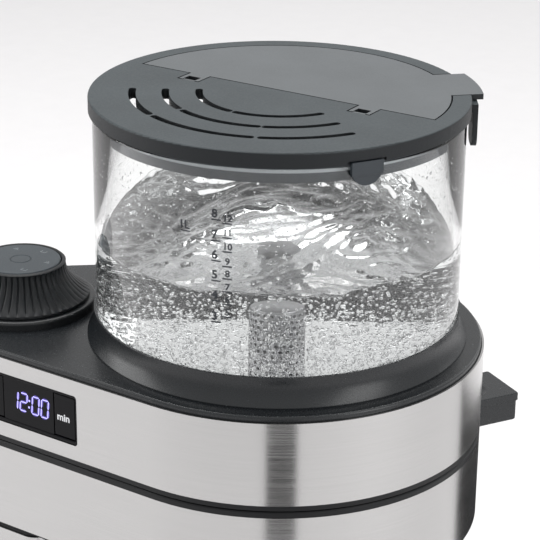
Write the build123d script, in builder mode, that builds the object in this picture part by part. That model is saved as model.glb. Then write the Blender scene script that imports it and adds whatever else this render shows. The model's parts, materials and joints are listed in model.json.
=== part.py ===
"""Filter coffee machine with a glass boiling vessel on top of a swing-out filter carrier.

Frame: millimetres, +Z up, origin on the table plane on the brewing axis (the axis that the glass
vessel, the filter basket and the carafe share). +X runs along the machine, away from the column,
and -Y is the front, where the clock is.
"""

import os
from math import atan2, cos, hypot, pi, radians, sin

from build123d import *

# Plan of the body: a big round end on the brewing axis, a small lobe, a straight front
# and a hollowed back flank between the two rounds.
BODY_R = 83.5
LOBE_R = 43.5
AXIS_SPAN = 106.4047
LOBE_Y = LOBE_R - BODY_R
LOBE_X = -((AXIS_SPAN**2 - LOBE_Y**2) ** 0.5)
FLANK_R = 300.0

# Heights of the layers, from the table upwards
FOOT_H = 2.5
BASE_H = 27.5
COLUMN_H = 165.3
CARRIER_H = 38.0
HOUSING_H = 36.1
TOP_PLATE_H = 2.3
COLLAR_H = 11.7
LAYER_GAP = 1.0
SWING_GAP = 0.6

# Sheet and wall thicknesses
STEEL_T = 0.8
SKIN_GAP = 0.2
WALL_T = 2.2
FLOOR_T = 2.5
RIM_H = 2.0
BAND_FOOT = 0.5

# Fits
RUNNING = 0.08
MOVING_GAP = 0.3

# Softened edges
EDGE_CUT = 0.5
FINE_CUT = 0.3

# Glass vessel
GLASS_R = 72.5
GLASS_T = 3.0
GLASS_H = 91.5
GASKET_T = 1.0
PAN_T = 1.0
SIEVE_R = 8.2
SIEVE_H = 17.0
SIEVE_T = 0.6
SIEVE_HOLE_R = 0.9
OUTLET_R = 6.5
OUTLET_BORE = 5.5
VALVE_BORE = 3.0
VALVE_LIFT = 3.0

# Lid, turned slightly about the brewing axis
LID_R = GLASS_R + 1.5
LID_TURN = 2.5
LID_H = 5.8
LID_DECK = 4.2
LID_RIM_W = 4.0
LID_ROUND = 0.7
FLAP_R = LID_R - 8.0
FLAP_T = 2.2
FLAP_GAP = 0.6
FLAP_LEDGE = 3.5
FLAP_CHORD_Y = 2.5
EAR_X = 38.5
EAR_W = 9.0
EAR_FRONT_Y = -6.0
HINGE_BAR_R = 0.8
HINGE_DROP = 1.0
TAB_TURN = 45.0 - LID_TURN
TAB_W = 28.0
TAB_R = LID_R + 4.7
TONGUE_TURN = 35.5 - LID_TURN
TONGUE_W = 13.0
TONGUE_T = 2.0
TONGUE_R = LID_R + 2.3
TONGUE_DROP = 20.4
SEAL_DROP = 6.8
SEAL_T = 2.7
PULL_TURN = -30.6 - LID_TURN
PULL_W = 12.7
PULL_DROP = 8.2
PULL_STEP = 4.2
SLOT_W = 2.9
OUTER_SLOT_R = FLAP_R - 9.0
MIDDLE_SLOT_R = FLAP_R - 21.8
INNER_SLOT_R = FLAP_R - 34.8
SLOTS = (
    (OUTER_SLOT_R, -150.0, -117.0),
    (OUTER_SLOT_R, -113.0, -69.0),
    (OUTER_SLOT_R, -65.0, -31.0),
    (MIDDLE_SLOT_R, -150.0, -118.0),
    (MIDDLE_SLOT_R, -113.0, -69.0),
    (MIDDLE_SLOT_R, -65.0, -30.0),
    (INNER_SLOT_R, -151.0, -96.0),
    (INNER_SLOT_R, -90.0, -29.0),
)

# Clock panel in the front of the upper housing
PANEL_X = -61.0
PANEL_W = 50.0
PANEL_H = 21.4
PANEL_DROP = 6.5
PANEL_CORNER = 1.5
PANEL_RECESS = 0.8
PANEL_FRAME_W = 1.2
PANEL_SILL = 1.5
WINDOW_W = 25.4
WINDOW_T = 1.6
KEY_TRAVEL = 0.8

# Selector knob
KNOB_DX = -1.5
KNOB_DY = -0.6
KNOB_RING_R = 30.5
KNOB_RING_H = 3.8
KNOB_FOOT_R = 27.9
KNOB_TOP_R = 18.6
KNOB_H = 15.4
DISC_R = 16.4
DISC_T = 2.5
DISC_TRAVEL = 1.0
SHAFT_R = 3.0
ROD_R = 1.2

# Filter carrier and its pivot
PIVOT_R = 20.0
PIVOT_T = 3.0
BUSH_T = 4.0
BASKET_R = 61.5
BASKET_FLANGE_W = 4.2
BASKET_FLANGE_R = BASKET_R + BASKET_FLANGE_W
WELL_LEDGE_W = 2.7
BASKET_T = 2.0
BASKET_NECK_R = 43.5
BASKET_FOOT_R = 20.0
BASKET_DROP = 38.0
GRIP_TURN = 61.0
GRIP_W = 25.0
GRIP_H = 12.8
GRIP_CAP_T = 3.4
GRIP_REACH = 27.5
GRIP_TOP_DROP = 7.1
GRIP_CORNER = 1.5
GRIP_LIP = 0.5
DISH_OUT = 8.0
DISH_R = 18.0
DISH_H = 2.4
DRIP_R = 6.0
DRIP_NOSE = 4.0
DRIP_LIP = 3.0
DRIP_STEM_H = 9.0
STEM_R = 1.5

# Carafe
CARAFE_R = 60.0
CARAFE_T = 0.8
CARAFE_NECK_R = 41.0
CARAFE_HEAD_H = 20.8
CARAFE_GAP = 1.8
CARAFE_COLLAR_H = 14.0
CARAFE_TURN = -50.0
MAT_T = 1.5
LEVER_T = 3.0

# Column round the carafe
BAY_R = CARAFE_R + 8.0
COLUMN_EDGE_X = -58.0
COLUMN_CORNER = 7.0
COLUMN_BACK_CORNER = STEEL_T + SKIN_GAP + WALL_T + SKIN_GAP

# Cord inlet
GLAND_TURN = 150.0
GLAND_BORE = 4.0
GLAND_R = 8.0
GLAND_NECK_R = 6.0
GLAND_LIP = 2.0
GLAND_Z = 16.0

# Screws
SCREW_R = 1.5
SCREW_HEAD_R = 3.0
SCREW_HEAD_H = 2.0
BOSS_R = 4.0

# Heights worked out from the layers
BASE_TOP = FOOT_H + BASE_H
COLUMN_TOP = BASE_TOP + COLUMN_H
CARRIER_Z = COLUMN_TOP + LAYER_GAP
CARRIER_TOP = CARRIER_Z + CARRIER_H
HOUSING_Z = CARRIER_TOP + SWING_GAP
HOUSING_TOP = HOUSING_Z + HOUSING_H
DECK_Z = HOUSING_TOP + TOP_PLATE_H
COLLAR_TOP = DECK_Z + COLLAR_H
GLASS_Z = DECK_Z + GASKET_T
GLASS_TOP = GLASS_Z + GLASS_H
PAN_TOP = GLASS_Z + PAN_T
LID_Z = GLASS_TOP + STEEL_T
LID_TOP = LID_Z + LID_H
KNOB_X = LOBE_X + KNOB_DX
KNOB_Y = LOBE_Y + KNOB_DY
KNOB_Z = DECK_Z + KNOB_RING_H + MOVING_GAP
KNOB_TOP = KNOB_Z + KNOB_H

LOBE_AXIS = Axis((LOBE_X, LOBE_Y, 0), (0, 0, 1))
KNOB_AXIS = Axis((KNOB_X, KNOB_Y, 0), (0, 0, 1))
MAIN_SECTION = Plane.XZ
LOBE_SECTION = Plane(origin=(LOBE_X, LOBE_Y, 0), x_dir=(1, 0, 0), z_dir=(0, -1, 0))
KNOB_SECTION = Plane(origin=(KNOB_X, KNOB_Y, 0), x_dir=(1, 0, 0), z_dir=(0, -1, 0))
FAR = 400.0

os.makedirs("parts", exist_ok=True)


def save(piece, name):
    """Label a finished piece and write it as one STEP file."""
    piece.part.label = name
    export_step(piece.part, f"parts/{name}.step")


def polar(radius, degrees):
    """A point in plan at a radius and an angle about the brewing axis."""
    return (radius * cos(radians(degrees)), radius * sin(radians(degrees)))


def flank_centre():
    """Centre of the hollow flank, which touches both rounds from outside."""
    span = hypot(LOBE_X, LOBE_Y)
    to_body = FLANK_R + BODY_R
    to_lobe = FLANK_R + LOBE_R
    along = (to_body**2 - to_lobe**2 + span**2) / (2 * span)
    across = (to_body**2 - along**2) ** 0.5
    ux, uy = LOBE_X / span, LOBE_Y / span
    return (along * ux + across * uy, along * uy - across * ux)


def body_plan(inset):
    """The body's plan, moved inwards by a given amount."""
    cx, cy = flank_centre()
    big_r = BODY_R - inset
    small_r = LOBE_R - inset
    span = hypot(cx, cy)
    lobe_span = hypot(cx - LOBE_X, cy - LOBE_Y)
    big_end = (cx / span * big_r, cy / span * big_r)
    small_end = (
        LOBE_X + (cx - LOBE_X) / lobe_span * small_r,
        LOBE_Y + (cy - LOBE_Y) / lobe_span * small_r,
    )
    half_turn = (atan2(cy, cx) + atan2(cy - LOBE_Y, cx - LOBE_X)) / 2
    flank_r = FLANK_R + inset
    flank_mid = (cx - flank_r * cos(half_turn), cy - flank_r * sin(half_turn))
    with BuildSketch() as plan:
        with BuildLine():
            Line((LOBE_X, LOBE_Y - small_r), (0, -big_r))
            ThreePointArc((0, -big_r), (big_r, 0), big_end)
            ThreePointArc(big_end, flank_mid, small_end)
            ThreePointArc(small_end, (LOBE_X - small_r, LOBE_Y), (LOBE_X, LOBE_Y - small_r))
        make_face()
    return plan.sketch


def column_plan(inset):
    """The column's plan: the lobe end of the body, hollowed round the carafe."""
    with BuildSketch() as plan:
        add(body_plan(inset))
        Circle(BAY_R + inset, mode=Mode.SUBTRACT)
        with Locations((COLUMN_EDGE_X - inset, 0)):
            Rectangle(FAR, FAR, align=(Align.MIN, Align.CENTER), mode=Mode.SUBTRACT)
        front_corners = plan.vertices().group_by(Axis.X)[-1].sort_by(Axis.Y)[:2]
        fillet(front_corners, radius=COLUMN_CORNER - inset)
        back_corners = plan.vertices().group_by(Axis.X)[-1].sort_by(Axis.Y)[-2:]
        fillet(back_corners, radius=COLUMN_BACK_CORNER - inset)
    return plan.sketch


def outline(*points):
    """A closed outline through given points."""
    with BuildSketch() as shape:
        with BuildLine():
            Polyline(*points, close=True)
        make_face()
    return shape.sketch


def ring_section(inner, outer, low, high):
    """Half section of a plain ring, as radius and height."""
    return outline((inner, low), (outer, low), (outer, high), (inner, high))


# ---------------------------------------------------------------- base

BASE_BOSS_R = BODY_R - 10.0
BASE_BOSSES = (
    polar(BASE_BOSS_R, -70),
    polar(BASE_BOSS_R, 10),
    polar(BASE_BOSS_R, 80),
    (LOBE_X + 24.0, LOBE_Y - 28.0),
    (LOBE_X - 30.0, LOBE_Y + 2.0),
)

GLAND_FRAME = Plane(
    origin=(LOBE_X, LOBE_Y, GLAND_Z),
    x_dir=(0, 0, 1),
    z_dir=(*polar(1.0, GLAND_TURN), 0),
)

with BuildPart() as base_shell:
    with BuildSketch(Plane.XY.offset(FOOT_H)):
        add(body_plan(0))
    extrude(amount=BASE_H)
    chamfer(base_shell.edges().group_by(Axis.Z)[-1], length=STEEL_T)
    with BuildSketch(Plane.XY.offset(FOOT_H)):
        add(body_plan(FLOOR_T))
    extrude(amount=BASE_H - FLOOR_T, mode=Mode.SUBTRACT)
    with BuildSketch(Plane.XY.offset(FOOT_H + 2 * FLOOR_T)):
        with Locations(*BASE_BOSSES):
            Circle(BOSS_R)
    extrude(amount=BASE_H - 3 * FLOOR_T)
    with BuildSketch(Plane.XY.offset(FOOT_H)):
        with Locations(*BASE_BOSSES):
            Circle(SCREW_R)
    extrude(amount=BASE_H - 2 * FLOOR_T, mode=Mode.SUBTRACT)
    with BuildSketch(GLAND_FRAME):
        Circle(GLAND_NECK_R)
    extrude(amount=LOBE_R + FLOOR_T, mode=Mode.SUBTRACT)
    with BuildSketch(Plane.XY.offset(BASE_TOP)):
        with Locations((LOBE_X, LOBE_Y)):
            Circle(PIVOT_R)
    extrude(amount=-FLOOR_T, mode=Mode.SUBTRACT)
save(base_shell, "base_shell")

with BuildPart() as base_plate:
    with BuildSketch(Plane.XY.offset(FOOT_H)):
        add(body_plan(FLOOR_T + SKIN_GAP))
    extrude(amount=2 * FLOOR_T)
    with BuildSketch(Plane.XY.offset(FOOT_H + FLOOR_T)):
        add(body_plan(2 * FLOOR_T))
        with Locations(*BASE_BOSSES):
            Circle(BOSS_R + SCREW_R, mode=Mode.SUBTRACT)
    extrude(amount=FLOOR_T, mode=Mode.SUBTRACT)
    with BuildSketch(Plane.XY.offset(FOOT_H)):
        with Locations(*BASE_BOSSES):
            Circle(SCREW_R)
    extrude(amount=2 * FLOOR_T, mode=Mode.SUBTRACT)
    with BuildSketch(Plane.XY.offset(FOOT_H)):
        with Locations(*BASE_BOSSES):
            Circle(SCREW_HEAD_R + SKIN_GAP)
    extrude(amount=SCREW_HEAD_H, mode=Mode.SUBTRACT)
save(base_plate, "base_plate")


HOUSING_BOSS_R = BODY_R - 9.0
HOUSING_BOSSES = (
    polar(HOUSING_BOSS_R, -58),
    polar(HOUSING_BOSS_R, 8),
    polar(HOUSING_BOSS_R, 75),
    (LOBE_X - 19.4, LOBE_Y + 26.0),
    (LOBE_X - 27.4, LOBE_Y - 14.0),
)
SCREW_L = 8.0
with BuildPart() as case_screws:
    for head_z, points in (
        (FOOT_H, BASE_BOSSES),
        (HOUSING_Z + FLOOR_T - SCREW_HEAD_H, HOUSING_BOSSES),
    ):
        with BuildSketch(Plane.XY.offset(head_z)):
            with Locations(*points):
                Circle(SCREW_HEAD_R)
        extrude(amount=SCREW_HEAD_H)
        with BuildSketch(Plane.XY.offset(head_z + SCREW_HEAD_H)):
            with Locations(*points):
                Circle(SCREW_R)
        extrude(amount=SCREW_L)
        with BuildSketch(Plane.XY.offset(head_z)):
            with Locations(*points):
                Rectangle(SCREW_HEAD_R, STEEL_T)
                Rectangle(STEEL_T, SCREW_HEAD_R)
        extrude(amount=SCREW_HEAD_H / 2, mode=Mode.SUBTRACT)
save(case_screws, "case_screws")

FOOT_RING_R = BODY_R - 17.5
FOOT_RING_W = 7.0
PAD_R = 7.0
PAD_POINTS = ((LOBE_X - 12.0, LOBE_Y - 16.0), (LOBE_X - 12.0, LOBE_Y + 20.0))

with BuildPart() as feet:
    with BuildSketch():
        Circle(FOOT_RING_R)
        Circle(FOOT_RING_R - FOOT_RING_W, mode=Mode.SUBTRACT)
        with Locations(*PAD_POINTS):
            Circle(PAD_R)
    extrude(amount=FOOT_H)
save(feet, "feet")

with BuildPart() as carafe_mat:
    with BuildSketch(Plane.XY.offset(BASE_TOP)):
        Circle(CARAFE_R + MAT_T)
    extrude(amount=MAT_T)
    chamfer(carafe_mat.edges().group_by(Axis.Z)[-1], length=MAT_T / 2)
save(carafe_mat, "carafe_mat")

with BuildPart() as cord_gland:
    with BuildSketch(GLAND_FRAME.offset(LOBE_R - 2 * FLOOR_T)):
        Circle(GLAND_NECK_R)
    extrude(amount=2 * FLOOR_T)
    with BuildSketch(GLAND_FRAME.offset(LOBE_R)):
        Circle(GLAND_R)
    extrude(amount=GLAND_LIP)
    chamfer(
        cord_gland.faces().sort_by(Axis((0, 0, 0), GLAND_FRAME.z_dir))[-1].edges(),
        GLAND_LIP / 4,
    )
    with BuildSketch(GLAND_FRAME.offset(LOBE_R - 2 * FLOOR_T)):
        Circle(GLAND_BORE)
    extrude(amount=3 * FLOOR_T, mode=Mode.SUBTRACT)
save(cord_gland, "cord_gland")

# ---------------------------------------------------------------- column

with BuildPart() as column_frame:
    with BuildSketch(Plane.XY.offset(BASE_TOP)):
        add(column_plan(STEEL_T + SKIN_GAP))
    extrude(amount=COLUMN_H)
    with BuildSketch(Plane.XY.offset(BASE_TOP + FLOOR_T)):
        add(column_plan(STEEL_T + SKIN_GAP + WALL_T))
    extrude(amount=COLUMN_H - 2 * FLOOR_T, mode=Mode.SUBTRACT)
    with BuildSketch(Plane.XY.offset(BASE_TOP)):
        with Locations((LOBE_X, LOBE_Y)):
            Circle(PIVOT_R)
    extrude(amount=COLUMN_H, mode=Mode.SUBTRACT)
save(column_frame, "column_frame")

with BuildPart() as column_cladding:
    with BuildSketch(Plane.XY.offset(BASE_TOP)):
        add(column_plan(0))
        add(column_plan(STEEL_T), mode=Mode.SUBTRACT)
    extrude(amount=COLUMN_H - LAYER_GAP)
save(column_cladding, "column_cladding")

PIVOT_FOOT = 60.0
PIVOT_HEAD = 4.0
with BuildPart() as pivot_tube:
    with BuildSketch(LOBE_SECTION):
        add(ring_section(PIVOT_R - PIVOT_T, PIVOT_R, COLUMN_TOP - PIVOT_FOOT,
                         HOUSING_Z + FLOOR_T + PIVOT_HEAD))
        add(ring_section(PIVOT_R, PIVOT_R + BUSH_T, COLUMN_TOP - FLOOR_T - PIVOT_HEAD,
                         COLUMN_TOP - FLOOR_T))
        add(ring_section(PIVOT_R, PIVOT_R + BUSH_T, HOUSING_Z + FLOOR_T,
                         HOUSING_Z + FLOOR_T + PIVOT_HEAD))
    revolve(axis=LOBE_AXIS)
save(pivot_tube, "pivot_tube")

LOOM_CORE_R = 2.2
TERMINAL_AT = (LOBE_X + 34.0, LOBE_Y + 16.0)
TERMINAL_W = 24.0
TERMINAL_D = 16.0
TERMINAL_H = 12.0
with BuildPart() as wiring_loom:
    with BuildSketch(Plane.XY.offset(FOOT_H + 3 * FLOOR_T)):
        with Locations((LOBE_X, LOBE_Y)):
            with PolarLocations(2 * LOOM_CORE_R, 4):
                Circle(LOOM_CORE_R)
    extrude(amount=HOUSING_Z + FLOOR_T + 2 * PIVOT_HEAD - FOOT_H - 3 * FLOOR_T)
    with BuildSketch(Plane.XY.offset(FOOT_H + FLOOR_T)):
        with Locations(TERMINAL_AT):
            Rectangle(TERMINAL_W, TERMINAL_D)
    extrude(amount=TERMINAL_H)
    with BuildSketch(Plane.XY.offset(FOOT_H + FLOOR_T + TERMINAL_H)):
        with Locations(TERMINAL_AT):
            with GridLocations(TERMINAL_W / 3, TERMINAL_D / 2, 3, 2):
                Circle(SCREW_R)
    extrude(amount=-TERMINAL_H / 3, mode=Mode.SUBTRACT)
save(wiring_loom, "wiring_loom")

# ---------------------------------------------------------------- filter carrier

BASKET_LIP_DROP = 3.0
BASKET_SEAT_Z = CARRIER_TOP - FLOOR_T - BASKET_LIP_DROP
CARRIER_WALL_IN = STEEL_T + SKIN_GAP
BASKET_WELL_R = BASKET_R + BASKET_FLANGE_W - WELL_LEDGE_W

with BuildPart() as carrier_frame:
    with BuildSketch(Plane.XY.offset(CARRIER_Z)):
        add(body_plan(CARRIER_WALL_IN))
    extrude(amount=CARRIER_H - FLOOR_T)
    with BuildSketch(Plane.XY.offset(CARRIER_Z + FLOOR_T)):
        add(body_plan(CARRIER_WALL_IN + WALL_T))
    extrude(amount=CARRIER_H, mode=Mode.SUBTRACT)
    with BuildSketch(Plane.XY.offset(CARRIER_Z)):
        Circle(BASKET_WELL_R + WALL_T)
    extrude(amount=BASKET_SEAT_Z - CARRIER_Z)
    with BuildSketch(Plane.XY.offset(CARRIER_Z)):
        with Locations((LOBE_X, LOBE_Y)):
            Circle(PIVOT_R + BUSH_T + WALL_T)
    extrude(amount=CARRIER_H - FLOOR_T)
    with BuildSketch(Plane.XY.offset(CARRIER_Z)):
        Circle(BASKET_WELL_R)
        with Locations((LOBE_X, LOBE_Y)):
            Circle(PIVOT_R + BUSH_T)
    extrude(amount=CARRIER_H, mode=Mode.SUBTRACT)
    with BuildSketch(Plane.XY.offset(CARRIER_Z)):
        add(body_plan(0))
        add(body_plan(CARRIER_WALL_IN + WALL_T), mode=Mode.SUBTRACT)
    extrude(amount=BAND_FOOT)
save(carrier_frame, "carrier_frame")

with BuildPart() as carrier_deck:
    with BuildSketch(Plane.XY.offset(CARRIER_TOP - FLOOR_T)):
        add(body_plan(0))
        Circle(BASKET_FLANGE_R + MOVING_GAP, mode=Mode.SUBTRACT)
        with Locations((LOBE_X, LOBE_Y)):
            Circle(PIVOT_R + BUSH_T, mode=Mode.SUBTRACT)
    extrude(amount=FLOOR_T)
    chamfer(carrier_deck.edges().group_by(Axis.Z)[-1], length=EDGE_CUT)
save(carrier_deck, "carrier_deck")

with BuildPart() as carrier_band:
    with BuildSketch(Plane.XY.offset(CARRIER_Z + BAND_FOOT)):
        add(body_plan(0))
        add(body_plan(STEEL_T), mode=Mode.SUBTRACT)
    extrude(amount=CARRIER_H - FLOOR_T - BAND_FOOT)
save(carrier_band, "carrier_band")

with BuildPart() as pivot_bush:
    with BuildSketch(LOBE_SECTION):
        add(ring_section(PIVOT_R + RUNNING, PIVOT_R + BUSH_T, CARRIER_Z, CARRIER_TOP))
    revolve(axis=LOBE_AXIS)
save(pivot_bush, "pivot_bush")

GRIP_TOP = CARRIER_TOP - GRIP_TOP_DROP
GRIP_FRAME = Plane(
    origin=(0, 0, GRIP_TOP - GRIP_H),
    x_dir=(*polar(1.0, GRIP_TURN), 0),
    z_dir=(0, 0, 1),
)
GRIP_END = BODY_R + GRIP_REACH


def grip_plan(width, reach):
    """Plan of the grip: a bar that leaves the band's round radially."""
    with BuildSketch() as plan:
        with Locations((reach, 0)):
            Rectangle(reach - BODY_R + LOBE_R, width, align=(Align.MAX, Align.CENTER))
        Circle(BODY_R, mode=Mode.SUBTRACT)
        fillet(plan.vertices().group_by(Axis.X)[-1], radius=GRIP_CORNER)
    return plan.sketch


with BuildPart() as carrier_grip:
    with BuildSketch(GRIP_FRAME):
        add(grip_plan(GRIP_W - 2 * GRIP_LIP, GRIP_END - GRIP_LIP))
    extrude(amount=GRIP_H - GRIP_CAP_T)
    chamfer(carrier_grip.edges().group_by(Axis.Z)[0], length=EDGE_CUT)
save(carrier_grip, "carrier_grip")

with BuildPart() as grip_cap:
    with BuildSketch(GRIP_FRAME.offset(GRIP_H - GRIP_CAP_T)):
        add(grip_plan(GRIP_W, GRIP_END))
    extrude(amount=GRIP_CAP_T)
    chamfer(grip_cap.edges().group_by(Axis.Z)[-1], length=EDGE_CUT)
    with Locations(GRIP_FRAME * Location((BODY_R + DISH_OUT, 0, GRIP_H + DISH_R - DISH_H))):
        Sphere(DISH_R, mode=Mode.SUBTRACT)
save(grip_cap, "grip_cap")

BASKET_Z = CARRIER_Z - BASKET_DROP
DRIP_BORE = DRIP_R + MOVING_GAP
CAGE_R = DRIP_R + 4.5
CAGE_H = 13.5
CAGE_T = 1.5
CAGE_SLOT_W = 5.0
BASKET_WAIST_Z = CARRIER_Z - 2.0
BASKET_SHOULDER_Z = CARRIER_Z + 8.0
with BuildPart() as filter_basket:
    with BuildSketch(MAIN_SECTION):
        add(outline(
            (DRIP_BORE, BASKET_Z),
            (BASKET_FOOT_R, BASKET_Z),
            (BASKET_NECK_R, BASKET_WAIST_Z),
            (BASKET_R, BASKET_SHOULDER_Z),
            (BASKET_R, BASKET_SEAT_Z),
            (BASKET_FLANGE_R, BASKET_SEAT_Z),
            (BASKET_FLANGE_R, BASKET_SEAT_Z + BASKET_T),
            (BASKET_R - BASKET_T, BASKET_SEAT_Z + BASKET_T),
            (BASKET_R - BASKET_T, BASKET_SHOULDER_Z + BASKET_T / 2),
            (BASKET_NECK_R - BASKET_T, BASKET_WAIST_Z + BASKET_T / 2),
            (BASKET_FOOT_R - BASKET_T, BASKET_Z + BASKET_T),
            (DRIP_BORE, BASKET_Z + BASKET_T),
        ))
    revolve(axis=Axis.Z)
    with BuildSketch(MAIN_SECTION):
        add(ring_section(CAGE_R, CAGE_R + CAGE_T, BASKET_Z + BASKET_T, BASKET_Z + BASKET_T + CAGE_H))
    revolve(axis=Axis.Z)
    with BuildSketch(Plane.XY.offset(BASKET_Z + BASKET_T)):
        with PolarLocations(CAGE_R, 6):
            Rectangle(4 * CAGE_T, CAGE_SLOT_W)
    extrude(amount=CAGE_H - BASKET_T, mode=Mode.SUBTRACT)
    with BuildSketch(Plane.XY.offset(BASKET_Z + BASKET_T + CAGE_H)):
        Circle(CAGE_R + CAGE_T)
        Circle(STEM_R + MOVING_GAP, mode=Mode.SUBTRACT)
    extrude(amount=CAGE_T)
save(filter_basket, "filter_basket")

DRIP_Z = BASKET_Z - DRIP_NOSE
DRIP_SEAT_Z = BASKET_Z + BASKET_T
with BuildPart() as drip_stop:
    with BuildSketch(MAIN_SECTION):
        add(outline(
            (0, DRIP_Z),
            (DRIP_R - 1.0, DRIP_Z),
            (DRIP_R, DRIP_Z + 1.5),
            (DRIP_R, DRIP_SEAT_Z + SKIN_GAP),
            (DRIP_R + DRIP_LIP, DRIP_SEAT_Z + SKIN_GAP),
            (DRIP_R + DRIP_LIP, DRIP_SEAT_Z + 1.6),
            (STEM_R, DRIP_SEAT_Z + 2.4),
            (STEM_R, DRIP_SEAT_Z + DRIP_STEM_H),
            (0, DRIP_SEAT_Z + DRIP_STEM_H),
        ))
    revolve(axis=Axis.Z)
save(drip_stop, "drip_stop")


def coil_spring(centre, low, height, radius, wire_r, turns):
    """A round-wire helical spring standing on a height."""
    x, y = centre
    with BuildPart() as spring:
        with BuildLine():
            Helix(pitch=height / turns, height=height, radius=radius, center=(x, y, low))
        rise = atan2(height / turns, 2 * pi * radius)
        with BuildSketch(
            Plane(origin=(x + radius, y, low), x_dir=(1, 0, 0), z_dir=(0, cos(rise), sin(rise)))
        ):
            Circle(wire_r)
        sweep(is_frenet=True)
    return spring


COIL_R = 3.4
WIRE_R = 0.4
DRIP_SPRING_H = 6.0
DRIP_SPRING_Z = DRIP_SEAT_Z + 6.2
drip_spring = coil_spring((0, 0), DRIP_SPRING_Z, DRIP_SPRING_H, COIL_R, WIRE_R, 3)
save(drip_spring, "drip_spring")

# ---------------------------------------------------------------- upper housing

SPRAY_R = 30.0
PANEL_Z = HOUSING_TOP - PANEL_DROP - PANEL_H / 2
FRONT_Y = LOBE_Y - LOBE_R
PANEL_FACE = Plane(origin=(PANEL_X, FRONT_Y, PANEL_Z), x_dir=(1, 0, 0), z_dir=(0, -1, 0))

with BuildPart() as upper_housing:
    with BuildSketch(Plane.XY.offset(HOUSING_Z)):
        add(body_plan(STEEL_T + SKIN_GAP))
    extrude(amount=HOUSING_H)
    with BuildSketch(Plane.XY.offset(HOUSING_Z + FLOOR_T)):
        add(body_plan(STEEL_T + SKIN_GAP + WALL_T))
    extrude(amount=HOUSING_H, mode=Mode.SUBTRACT)
    with BuildSketch(Plane.XY.offset(HOUSING_Z)):
        add(body_plan(0))
        add(body_plan(STEEL_T + SKIN_GAP), mode=Mode.SUBTRACT)
    extrude(amount=RIM_H)
    with BuildSketch(Plane.XY.offset(HOUSING_Z)):
        Circle(SPRAY_R)
        with Locations((LOBE_X, LOBE_Y)):
            Circle(PIVOT_R)
    extrude(amount=FLOOR_T, mode=Mode.SUBTRACT)
    with BuildSketch(Plane.XY.offset(HOUSING_Z)):
        with Locations(*HOUSING_BOSSES):
            Circle(SCREW_HEAD_R + SKIN_GAP)
    extrude(amount=FLOOR_T, mode=Mode.SUBTRACT)
    with BuildSketch(PANEL_FACE.offset(-2 * WALL_T)):
        Rectangle(PANEL_W, PANEL_H)
    extrude(amount=2 * WALL_T, mode=Mode.SUBTRACT)
save(upper_housing, "upper_housing")

with BuildPart() as upper_band:
    with BuildSketch(Plane.XY.offset(HOUSING_Z + RIM_H)):
        add(body_plan(0))
        add(body_plan(STEEL_T), mode=Mode.SUBTRACT)
    extrude(amount=HOUSING_H - RIM_H)
    with BuildSketch(PANEL_FACE.offset(-2 * STEEL_T)):
        RectangleRounded(PANEL_W, PANEL_H, PANEL_CORNER)
    extrude(amount=2 * STEEL_T, mode=Mode.SUBTRACT)
save(upper_band, "upper_band")

PANEL_IN_W = PANEL_W - 2 * PANEL_FRAME_W
PANEL_IN_H = PANEL_H - 2 * PANEL_SILL
PANEL_DEPTH = 5.0
with BuildPart() as display_panel:
    with BuildSketch(PANEL_FACE.offset(-PANEL_DEPTH)):
        RectangleRounded(PANEL_W - 2 * SKIN_GAP, PANEL_H - 2 * SKIN_GAP, PANEL_CORNER)
        Rectangle(PANEL_IN_W, PANEL_IN_H, mode=Mode.SUBTRACT)
    extrude(amount=PANEL_DEPTH - PANEL_RECESS / 2)
    chamfer(display_panel.faces().sort_by(Axis.Y)[0].inner_wires().edges(), length=FINE_CUT)
save(display_panel, "display_panel")

KEY_W = (PANEL_IN_W - WINDOW_W) / 2
KEY_X = (WINDOW_W + KEY_W) / 2
KEY_T = 3.2
with BuildPart() as display_window:
    with BuildSketch(PANEL_FACE.offset(-PANEL_RECESS - WINDOW_T)):
        Rectangle(WINDOW_W, PANEL_IN_H)
    extrude(amount=WINDOW_T)
save(display_window, "display_window")


def panel_key(side):
    """A rectangular key beside the window; side is -1 on the left and 1 on the right."""
    with BuildPart() as key:
        with BuildSketch(PANEL_FACE.offset(-PANEL_RECESS - KEY_T)):
            with Locations((side * KEY_X, 0)):
                Rectangle(KEY_W - 2 * MOVING_GAP, PANEL_IN_H - 2 * MOVING_GAP)
        extrude(amount=KEY_T)
        chamfer(key.faces().sort_by(Axis.Y)[0].edges(), length=FINE_CUT)
    return key


hour_key = panel_key(-1)
save(hour_key, "hour_key")
minute_key = panel_key(1)
save(minute_key, "minute_key")

MODULE_T = 3.0
MODULE_GAP = 0.4
with BuildPart() as display_module:
    with BuildSketch(PANEL_FACE.offset(-PANEL_RECESS - WINDOW_T - MODULE_GAP - MODULE_T)):
        Rectangle(WINDOW_W - PANEL_SILL, PANEL_IN_H - 2 * PANEL_SILL)
    extrude(amount=MODULE_T)
save(display_module, "display_module")

BOARD_T = 1.6
SWITCH_W = 6.0
SWITCH_H = 2.0
SWITCH_TIP_R = 1.6
SWITCH_TIP_H = 0.8
FRONT_BOARD_Y = PANEL_RECESS + KEY_T + KEY_TRAVEL + SWITCH_H + SWITCH_TIP_H + SKIN_GAP
FRONT_BOARD_W = PANEL_W + SWITCH_W
with BuildPart() as front_board:
    with BuildSketch(PANEL_FACE.offset(-FRONT_BOARD_Y - BOARD_T)):
        Rectangle(FRONT_BOARD_W, PANEL_H)
    extrude(amount=BOARD_T)
    with BuildSketch(PANEL_FACE.offset(-FRONT_BOARD_Y)):
        with Locations((-KEY_X, 0), (KEY_X, 0)):
            Rectangle(SWITCH_W, SWITCH_W)
    extrude(amount=SWITCH_H)
    with BuildSketch(PANEL_FACE.offset(-FRONT_BOARD_Y + SWITCH_H)):
        with Locations((-KEY_X, 0), (KEY_X, 0)):
            Circle(SWITCH_TIP_R)
    extrude(amount=SWITCH_TIP_H)
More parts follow.
